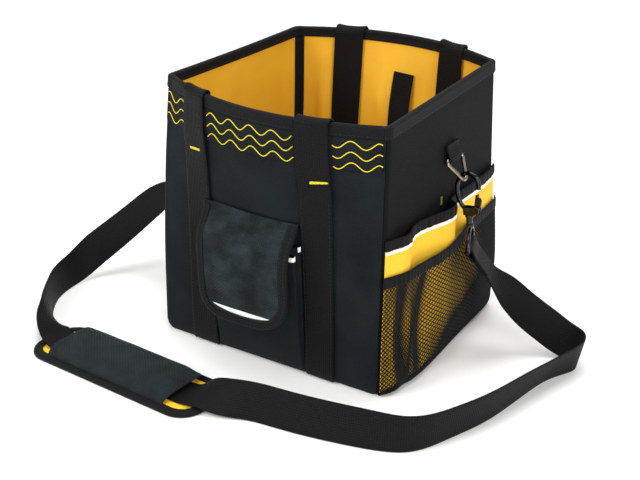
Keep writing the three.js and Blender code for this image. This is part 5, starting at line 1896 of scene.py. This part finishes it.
    def snap_hook(self) -> None:
        """Hook body with its two cheeks, the sprung gate between them, and the eye below."""
        bow = self.hook.wire(smooth_line(upright(self.bow), False, 70), SIDEWAYS, self.hook_wire, False)
        cheeks = [self.bar(self.lug, *span, self.bar_edge) for span in self.lug_spans]
        block = self.bar(self.block, -self.block_half, self.block_half, self.block_edge)
        body = [bow, *cheeks, block, self.swivel(*self.barrel_ends)]
        put("snap_hook_body", body, GUNMETAL, Fit(("hook_right",), crease=45))
        lever = self.bar(self.gate, -self.gate_half, self.gate_half, self.bar_edge)
        p, q = self.pivot
        across = np.linspace(-self.pin_half, self.pin_half, 13)
        pin = together(p, across, q)
        axle = self.hook.wire(pin, UP, self.pin_radius, False, 16)
        boss = self.hook.wire(pin * [1, self.boss_share, 1], UP, self.boss_radius, False, 20)
        fit = Fit(("hook_right_gate",), "hook_gate", crease=45)
        put("snap_hook_gate", [lever, axle, boss], GUNMETAL, fit)
        put("snap_hook_eye", [self.eye()], GUNMETAL, Fit(("hook_right_eye",), crease=180))

    def closed_hook(self) -> None:
        """Hook closed all round, with its barrel and eye in one."""
        line = smooth_line(upright(self.bow + self.closing), True, 90)
        bow = self.hook.wire(line, SIDEWAYS, self.hook_wire)
        whole = [bow, self.swivel(*self.closed_barrel_ends), self.eye()]
        put("snap_hook_left", whole, GUNMETAL, Fit(("hook_left",), crease=45))

    def strap_start(self) -> Placement:
        """Frame of the strap's sewn end: x along the strap, y along the eye's bar."""
        origin = self.hook(np.array([0, 0, self.eye_bar]))
        bar = self.eye_way @ self.hook.axes
        level = unit(np.cross(bar, UP))
        heading = level * math.cos(self.pitch) - UP * math.sin(self.pitch)
        normal = unit(np.cross(heading, bar))
        return Placement(origin, np.stack([heading, unit(np.cross(normal, heading)), normal]))

    def build(self) -> None:
        """Makes all of its pieces."""
        self.tab()
        self.ring()
        if self.side is Side.RIGHT:
            self.snap_hook()
        else:
            self.closed_hook()


@dataclass(frozen=True)
class Stop:
    """One place on the strap's route; without a height it lies on the floor. A twist of 90 is flat."""

    x: float
    y: float
    twist: float
    z: float | None = None


@dataclass(frozen=True)
class ShoulderStrap:
    """Strap from the left hook round the front to the right one, with its sewn ends and its pad."""

    left: Placement
    right: Placement
    steps: int = 420
    end_length: float = 30.0
    end_hole: float = 2.75
    end_taper: float = 11.0
    end_gap: float = 0.1
    box_inset: Span = (2.0, 3.0)
    box_lift: float = 0.15
    straight: float = 12.0
    settle: float = 4.0
    leaves_at: float = 6.0
    floor_gap: float = 0.6
    pad_x: float = -109.0
    pad_y: float = -213.9
    pad_turn: float = math.radians(-4.0)
    pad_length: float = 224.0
    pad_width: float = 71.0
    pad_corner: float = 25.0
    pad_base: Span = (1.3, 3.6)
    pad_edge_ease: Span = (0.97, 0.4)
    pad_tape: FoldedTape = FoldedTape(8.5, 0.8, 0.3, 0.8, 0.35)
    pad_seam: Span = (1.6, 0.2)
    cover_ends: Span = (-82.0, 77.0)
    cover_sides: Span = (-30.0, 33.5)
    cover_crest: float = 16.5
    cover_mouths: Span = (15.0, 11.5)
    cover_ease: float = 0.3
    cover_on_tape: Triple = (0.76, 0.12, 1.3)
    cover_waves: Rows = ((0.5, 7.0, 2.5, 0.0), (0.35, 15.0, -4.0, 1.0))
    hem_ends: Span = (-0.93, 0.93)
    hem_reach: float = 0.97
    hem_lift: float = 0.1

    def on_pad(self, along: float, twist: float, z: float) -> Stop:
        """A place on the route measured along the pad from its middle."""
        reach = along * np.array([math.cos(self.pad_turn), math.sin(self.pad_turn)])
        return Stop(self.pad_x + reach[0], self.pad_y + reach[1], twist, z)

    def route(self) -> tuple[Stop, ...]:
        """Places that the strap passes, from the left hook to the right one."""
        return (
            Stop(-207, -18, 54, 104), Stop(-224, -25, 36, 91), Stop(-244, -34, 33, 71),
            Stop(-264, -47, 31, 51), Stop(-281, -67, 25, 32.5), Stop(-288, -98, 13), Stop(-281, -129, 5),
            Stop(-267, -154, 4), Stop(-254, -172, 9), Stop(-244, -182, 19), Stop(-233, -190.5, 36),
            Stop(-225, -198, 54, 19), Stop(-217.5, -203.3, 65, 15.5),
            self.on_pad(-104, 81, 9.6), self.on_pad(-96.5, 90, 4.9), self.on_pad(0, 90, 4.9),
            self.on_pad(86, 90, 4.9), self.on_pad(100, 106, 12.5), self.on_pad(112, 118, 16.5),
            Stop(13, -222, 130, 17.2), Stop(26, -219.5, 143, 17.6), Stop(46, -212, 150),
            Stop(94, -207.5, 152), Stop(154, -198, 158), Stop(193, -189, 172), Stop(210, -175, 182),
            Stop(225, -146, 188), Stop(243, -99, 191), Stop(253, -54, 196), Stop(263, -9, 203),
            Stop(272, 14, 199), Stop(279, 32, 192), Stop(273, 47, 194), Stop(258, 53, 198),
            Stop(238, 49, 206, 30), Stop(215, 38, 210, 50), Stop(198, 24, 222, 74),
        )

    def line(self) -> tuple[Array, Array]:
        """Centre line of the strap and the direction of its width at each point."""
        rows = []
        for stop in self.route():
            angle = math.radians(stop.twist)
            edge = STRAP.width * abs(math.cos(angle)) / 2 + STRAP.thick * math.sin(angle) ** 2 / 2
            rows.append((stop.x, stop.y, self.floor_gap + edge if stop.z is None else stop.z, stop.twist))
        reach = self.end_length + GAP
        ends = [
            [(*(start.origin + start.axes[0] * far), twist) for far, twist in steps]
            for start, steps in (
                (self.left, ((reach, 90), (reach + self.straight, 90 - self.settle))),
                (self.right, ((reach + self.straight, 270 - self.settle), (reach, 270))),
            )
        ]
        rows = np.array([*ends[0], *rows, *ends[1]], float)
        run = running(rows[:, :3])
        route = Table("run x y z twist", tuple(map(tuple, np.column_stack([run, rows]))))
        read = lambda places: np.stack([route.at(axis, places) for axis in "xyz"], -1)
        places = np.linspace(0, run[-1], self.steps)
        forward = unit(read(np.minimum(places + 1, run[-1])) - read(np.maximum(places - 1, 0)))
        side = unit(np.cross(UP, forward))
        rise = np.cross(forward, side)
        twist = np.radians(route.at("twist", places))[:, None]
        wide = side * np.sin(twist) - rise * np.cos(twist)
        return eased(eased(read(places), 3), 3), unit(eased(eased(wide, 4), 4))

    def sewn_end(self, start: Placement, word: str) -> bpy.types.Object:
        """Webbing folded round the eye's bar and sewn back on itself.

        Args:
            start: Frame of the end.
            word: Name of its side.

        Returns:
            The piece.
        """
        lift = STRAP.thick / 2 + self.end_gap
        bend = np.linspace(math.pi / 2, 3 * math.pi / 2, 18)
        over = together(np.linspace(self.end_length, self.end_taper, 10), lift)
        round_bar = (self.end_hole + STRAP.thick / 2) * together(np.cos(bend), np.sin(bend))
        line = upright(joined(over, round_bar, over[::-1] * [1, -1]))
        line = eased(evenly(line, 1.5)[0], 1)
        made = STRAP.along(start(line), start.turned(SIDEWAYS, line))
        return put(f"strap_fold_{word}", [made], WEBBING_BLACK, Fit((f"strap_end_{word}",)))

    def end_stitches(self, start: Placement) -> Surface:
        """Box of stitches with one diagonal, on one face of the sewn end with that frame.

        Args:
            start: Frame of the end.

        Returns:
            The stitches.
        """
        inset, side = self.box_inset
        half = STRAP.width / 2 - side
        low, high = self.end_taper + inset, self.end_length - inset
        corners = [(low, -half), (high, -half), (high, half), (low, half), (low, -half), (high, half)]
        line = start(evenly(at_height(np.array(corners), STRAP.thick + self.box_lift), 1.0)[0])
        return SEAM.row(line, start.turned(UP, line))

    @property
    def pad(self) -> Placement:
        """Frame of the pad on the floor."""
        c, s = math.cos(self.pad_turn), math.sin(self.pad_turn)
        return Placement(np.array([self.pad_x, self.pad_y, 0]), np.array([[c, s, 0], [-s, c, 0], [0, 0, 1]]))

    def pad_outline(self) -> tuple[Array, Array]:
        """Rounded outline of the pad and the outward direction at each point."""
        quarter = np.linspace(0, math.pi / 2, 12)
        angle = np.concatenate([quarter + turns * math.pi / 2 for turns in range(4)])
        a, b = self.pad_length / 2 - self.pad_corner, self.pad_width / 2 - self.pad_corner
        centre = np.repeat([(a, b), (-a, b), (-a, -b), (a, -b)], len(quarter), 0)
        outward = together(np.cos(angle), np.sin(angle))
        line, direction = evenly(looped(centre + self.pad_corner * outward), 3.0, looped(outward))
        return line[:-1], unit(direction[:-1])

    def pad_back(self) -> bpy.types.Object:
        """Yellow backing of the pad: rings from the middle of its underside round its edge to its top."""
        line, _ = self.pad_outline()
        low, high = self.pad_base
        share, ease = self.pad_edge_ease
        under = [(0, low), (0.5, low), (share, low), (1, low + ease)]
        over = [(1, high - ease), (share, high), (0.5, high), (0, high)]
        size, z = np.array(under + over).T
        back = tube(self.pad(at_height(line * size[:, None, None], z[:, None])))
        return put("pad_backing", [back], POCKET, Fit(("pad_base",)))

    def pad_edge(self) -> bpy.types.Object:
        """Tape folded round the pad's edge: its section carried round the outline."""
        line, outward = self.pad_outline()
        inset, z = self.pad_tape.section(*self.pad_base)
        rings = at_height(line[:, None] - outward[:, None] * inset[None, :, None], z)
        return put("pad_tape", [tube(self.pad(rings), True)], TAPE_BLACK, Fit(("pad_binding",), crease=60))

    def cover_height(self, along: Array, across: Array) -> Array:
        """Height of the sleeve: full in the middle, sewn down on the tape, lower at its open mouths.

        Args:
            along: From -1 to 1 along the sleeve.
            across: From -1 to 1 across it.

        Returns:
            Height above the floor.
        """
        share = np.clip(np.abs(across), 0, 1)
        start, spread, step = self.cover_on_tape
        low = self.pad_base[1] + GAP + step * np.clip((share - start) / spread, 0, 1)
        near_end = np.clip((1 - np.abs(along)) / self.cover_ease, 0, 1)
        ease = near_end * near_end * (3 - 2 * near_end)
        mouth = np.where(along < 0, *self.cover_mouths)
        crest = mouth + (self.cover_crest - mouth) * ease
        swell = (1 - share**5) ** 0.6
        waves = sum(size * np.sin(a * along + b * across + shift) for size, a, b, shift in self.cover_waves)
        return low + (crest - low) * swell + waves * (1 - share**2) * ease

    def cover_point(self, along: Array, across: Array, off: float) -> Array:
        """Point of the sleeve.

        Args:
            along: From -1 to 1 along the sleeve.
            across: From -1 to 1 across it.
            off: Distance above it.

        Returns:
            The points in the part's frame.
        """
        sides = ((self.cover_ends, along), (self.cover_sides, across))
        flat = [sum(ends) / 2 + share * (ends[1] - ends[0]) / 2 for ends, share in sides]
        return self.pad(at_height(np.stack(flat, -1), self.cover_height(along, across) + off))

    def pad_cover(self) -> bpy.types.Object:
        """Nylon sleeve over the strap, a padded sheet open at both ends."""
        along, across = grid(np.linspace(-1, 1, 100), np.sin(np.linspace(-1, 1, 45) * math.pi / 2))
        face = sheet(self.cover_point(along, across, 0.0), Facing.UP)
        # A lighter copy of the cloth: painted light on the sleeve's top.
        made = put("pad_sleeve", [face], NYLON_SLEEVE_LIT, Fit(("pad_cover",), cloth=1.2))
        return made

    def pad_stitches(self) -> bpy.types.Object:
        """Hem stitches beside both mouths of the sleeve and a row along the pad's tape."""
        rows = []
        across = np.sin(np.linspace(-self.hem_reach, self.hem_reach, 80) * math.pi / 2)
        for end in self.hem_ends:
            line = self.cover_point(np.full(len(across), end), across, self.hem_lift)
            normal = np.cross(np.broadcast_to(self.pad.axes[0], line.shape), np.gradient(line, axis=0))
            rows.append(SEAM.row(line, unit(normal)))
        line, outward = self.pad_outline()
        inset, lift = self.pad_seam
        flat = line - outward * (self.pad_tape.width - inset)
        ring = looped(self.pad(at_height(flat, self.pad_base[1] + GAP + self.pad_tape.thick + lift)))
        rows.append(SEAM.row(ring, np.broadcast_to(UP, ring.shape)))
        return put("pad_stitches", rows, THREAD_BLACK)

    def build(self) -> None:
        centres, wide = self.line()
        strap = put("strap", [STRAP.along(centres, wide)], WEBBING_BLACK, Fit(("shoulder_strap",)))
        ends = [self.sewn_end(self.left, "left"), self.sewn_end(self.right, "right")]
        boxes = [self.end_stitches(start) for start in (self.left, self.right)]
        thread = put("strap_fold_stitches", boxes, THREAD_BLACK)
        pad = [self.pad_back(), self.pad_edge(), self.pad_cover(), self.pad_stitches()]


@dataclass(frozen=True)
class Needlework:
    """Coloured thread: wave rows on the band, bars across the handle legs, a tack on the right side."""

    rows: tuple[float, ...] = (263.0, 252.5, 242.0)
    swing: float = 3.7
    period: float = 25.0
    spans: Pairs = ((-121.0, -89.0), (-51.0, 52.0), (89.5, 134.0))
    thread: float = 0.48
    proud: float = 0.3
    wave_step: float = 0.7
    bars: Rows = (
        (-77.2, -63.2, 223.5, 224.5, 4.4), (68.0, 84.8, 221.0, 223.5, 4.4),
    )
    bar_height: float = 2.9
    bar_step: float = 0.8
    bar_stitch: Stitching = Stitching(radius=0.5)
    tack_y: float = -8.0
    tack_span: Span = (166.5, 174.5)
    tack_width: float = 3.2
    tack_out: float = 0.5

    def waves(self) -> None:
        """Rows of waves: height = row + swing * sin(turns along x), carried as a fine round thread."""
        parts = []
        for start, end in self.spans:
            x = np.linspace(start, end, round((end - start) / self.wave_step))
            for row in self.rows:
                z = row + self.swing * np.sin(TURN * x / self.period)
                line = BODY.panel_point(Side.FRONT, x, z, BagBody.band_face + self.proud)
                parts.append(carried(line, BODY.square(Side.FRONT, z), circle(self.thread, 8)))
        put("band_waves", parts, THREAD_YELLOW, Fit(crease=180))

    def tacks(self) -> None:
        """Bars of close upright stitches across the handle legs, and of level ones by the side pocket."""
        parts = []
        for start, end, low, high, out in self.bars:
            x = np.linspace(start, end, round((end - start) / self.bar_step))
            z = np.linspace(low, high, len(x))
            centres = BODY.panel_point(Side.FRONT, x, z, out)
            along = np.broadcast_to(UP, centres.shape)
            normal = BODY.square(Side.FRONT, z)
            parts.append(self.bar_stitch.capsules(centres, along, normal, self.bar_height))
        put("yellow_bars", parts, THREAD_YELLOW, Fit(crease=180))
        z = np.linspace(*self.tack_span, 11)
        centres = BODY.panel_point(Side.RIGHT, self.tack_y, z, self.tack_out)
        along = BODY.wallwise(Side.RIGHT, self.tack_y, z)
        side_bar = self.bar_stitch.capsules(centres, along, BODY.square(Side.RIGHT, z), self.tack_width)
        # Olive: the yellow thread darkened as painted shade.
        put("side_bar", [side_bar], THREAD_YELLOW_SHADED, Fit(crease=180))

    def build(self) -> None:
        """Makes all of its pieces."""
        self.waves()
        self.tacks()


@dataclass(frozen=True)
class Lamp:
    """Square soft light: its name, its place and edge in metres, and its power in watts."""

    name: str
    place: Triple
    power: float
    size: float


@dataclass(frozen=True)
class Studio:
    """Camera at the photograph's angle, pale floor and soft light."""

    position: Triple = (635.7, -1024.0, 655.0)
    target: Triple = (6.6, -28.9, 103.5)
    lens: float = 69.7
    sensor: float = 36.0
    sight: float = 50.0
    floor: str = "#f4f4f2"
    floor_roughness: float = 0.9
    floor_half: float = 6000.0
    surround: float = 0.65
    lamp_target: Triple = (0.0, 0.0, 0.15)
    lamps: tuple[Lamp, ...] = (
        Lamp("key", (-1.1, -1.9, 1.7), 38.0, 1.2),
        Lamp("fill", (2.1, -1.2, 1.3), 40.0, 1.4),
        Lamp("top", (0.1, 0.2, 2.2), 30.0, 1.2),
    )

    @staticmethod
    def aimed(data: bpy.types.ID, place: Array, away: Array, up: Array) -> bpy.types.Object:
        """Puts a camera or a light in the scene.

        Args:
            data: What the object holds.
            place: Where it stands, in metres.
            away: Direction from what it looks at to itself.
            up: Direction that is upward for it.

        Returns:
            The object.
        """
        away = unit(away)
        right = unit(np.cross(up, away))
        whole = np.eye(4)
        whole[:3, :3] = np.stack([right, np.cross(away, right), away], 1)
        whole[:3, 3] = place
        made = bpy.data.objects.new(data.name, data)
        made.matrix_world = whole.T.tolist()
        bpy.context.scene.collection.objects.link(made)
        return made

    def camera(self) -> None:
        """Camera looking at its target."""
        data = bpy.data.cameras.new("camera")
        data.lens = self.lens
        data.sensor_width = self.sensor
        data.clip_end = self.sight
        position = np.array(self.position)
        bpy.context.scene.camera = self.aimed(data, position * MM, position - np.array(self.target), UP)

    def ground(self) -> None:
        """Wide pale floor, painted board with a matte face."""
        places = np.linspace(-self.floor_half, self.floor_half, 13)
        board = sheet(at_height(np.stack(grid(places, places), -1), 0.0), Facing.UP)
        mesh = bpy.data.meshes.new("floor")
        mesh.from_pydata((board.points * MM).tolist(), [], board.quads.tolist())
        made = bpy.data.objects.new("floor", mesh)
        bpy.context.scene.collection.objects.link(made)
        paint = bpy.data.materials.new("floor_paint_matte")
        paint.use_nodes = True
        shader = paint.node_tree.nodes["Principled BSDF"]
        shader.inputs["Base Color"].default_value = linear(self.floor)
        shader.inputs["Roughness"].default_value = self.floor_roughness
        mesh.materials.append(paint)

    def light(self) -> None:
        """Even white surroundings with a key light, a fill and a light from above."""
        world = bpy.data.worlds.new("studio")
        bpy.context.scene.world = world
        world.use_nodes = True
        ground = world.node_tree.nodes["Background"]
        ground.inputs["Color"].default_value = (1.0, 1.0, 1.0, 1.0)
        ground.inputs["Strength"].default_value = self.surround
        for lamp in self.lamps:
            data = bpy.data.lights.new(lamp.name, "AREA")
            data.energy = lamp.power
            data.size = lamp.size
            place = np.array(lamp.place)
            self.aimed(data, place, place - np.array(self.lamp_target), UP + SIDEWAYS * MM)
        bpy.context.scene.view_settings.view_transform = "Standard"


def main() -> None:
    """Builds the camera, then the strap, then the bag, then the studio."""
    logging.basicConfig(level=logging.INFO, format="%(message)s")
    studio = Studio()
    studio.camera()
    right = HookRig(Side.RIGHT, math.radians(20), math.radians(52))
    left = HookRig(Side.LEFT, math.radians(28), math.radians(14))
    pieces = (
        ShoulderStrap(left.strap_start(), right.strap_start()),
        BagBody(),
        CarryHandle(Side.FRONT, Leg(-76.0, 7.0, 1.5), Leg(65.5, 7.0, 1.5)),
        CarryHandle(Side.BACK, Leg(-57.0), Leg(69.0)),
        InnerTab(),
        FrontPouch(),
        SidePockets(),
        right,
        left,
        Needlework(),
    )
    for piece in pieces:
        piece.build()
        log.info("%s is in place", type(piece).__name__)
    studio.ground()
    studio.light()


if __name__ == "__main__":
    main()
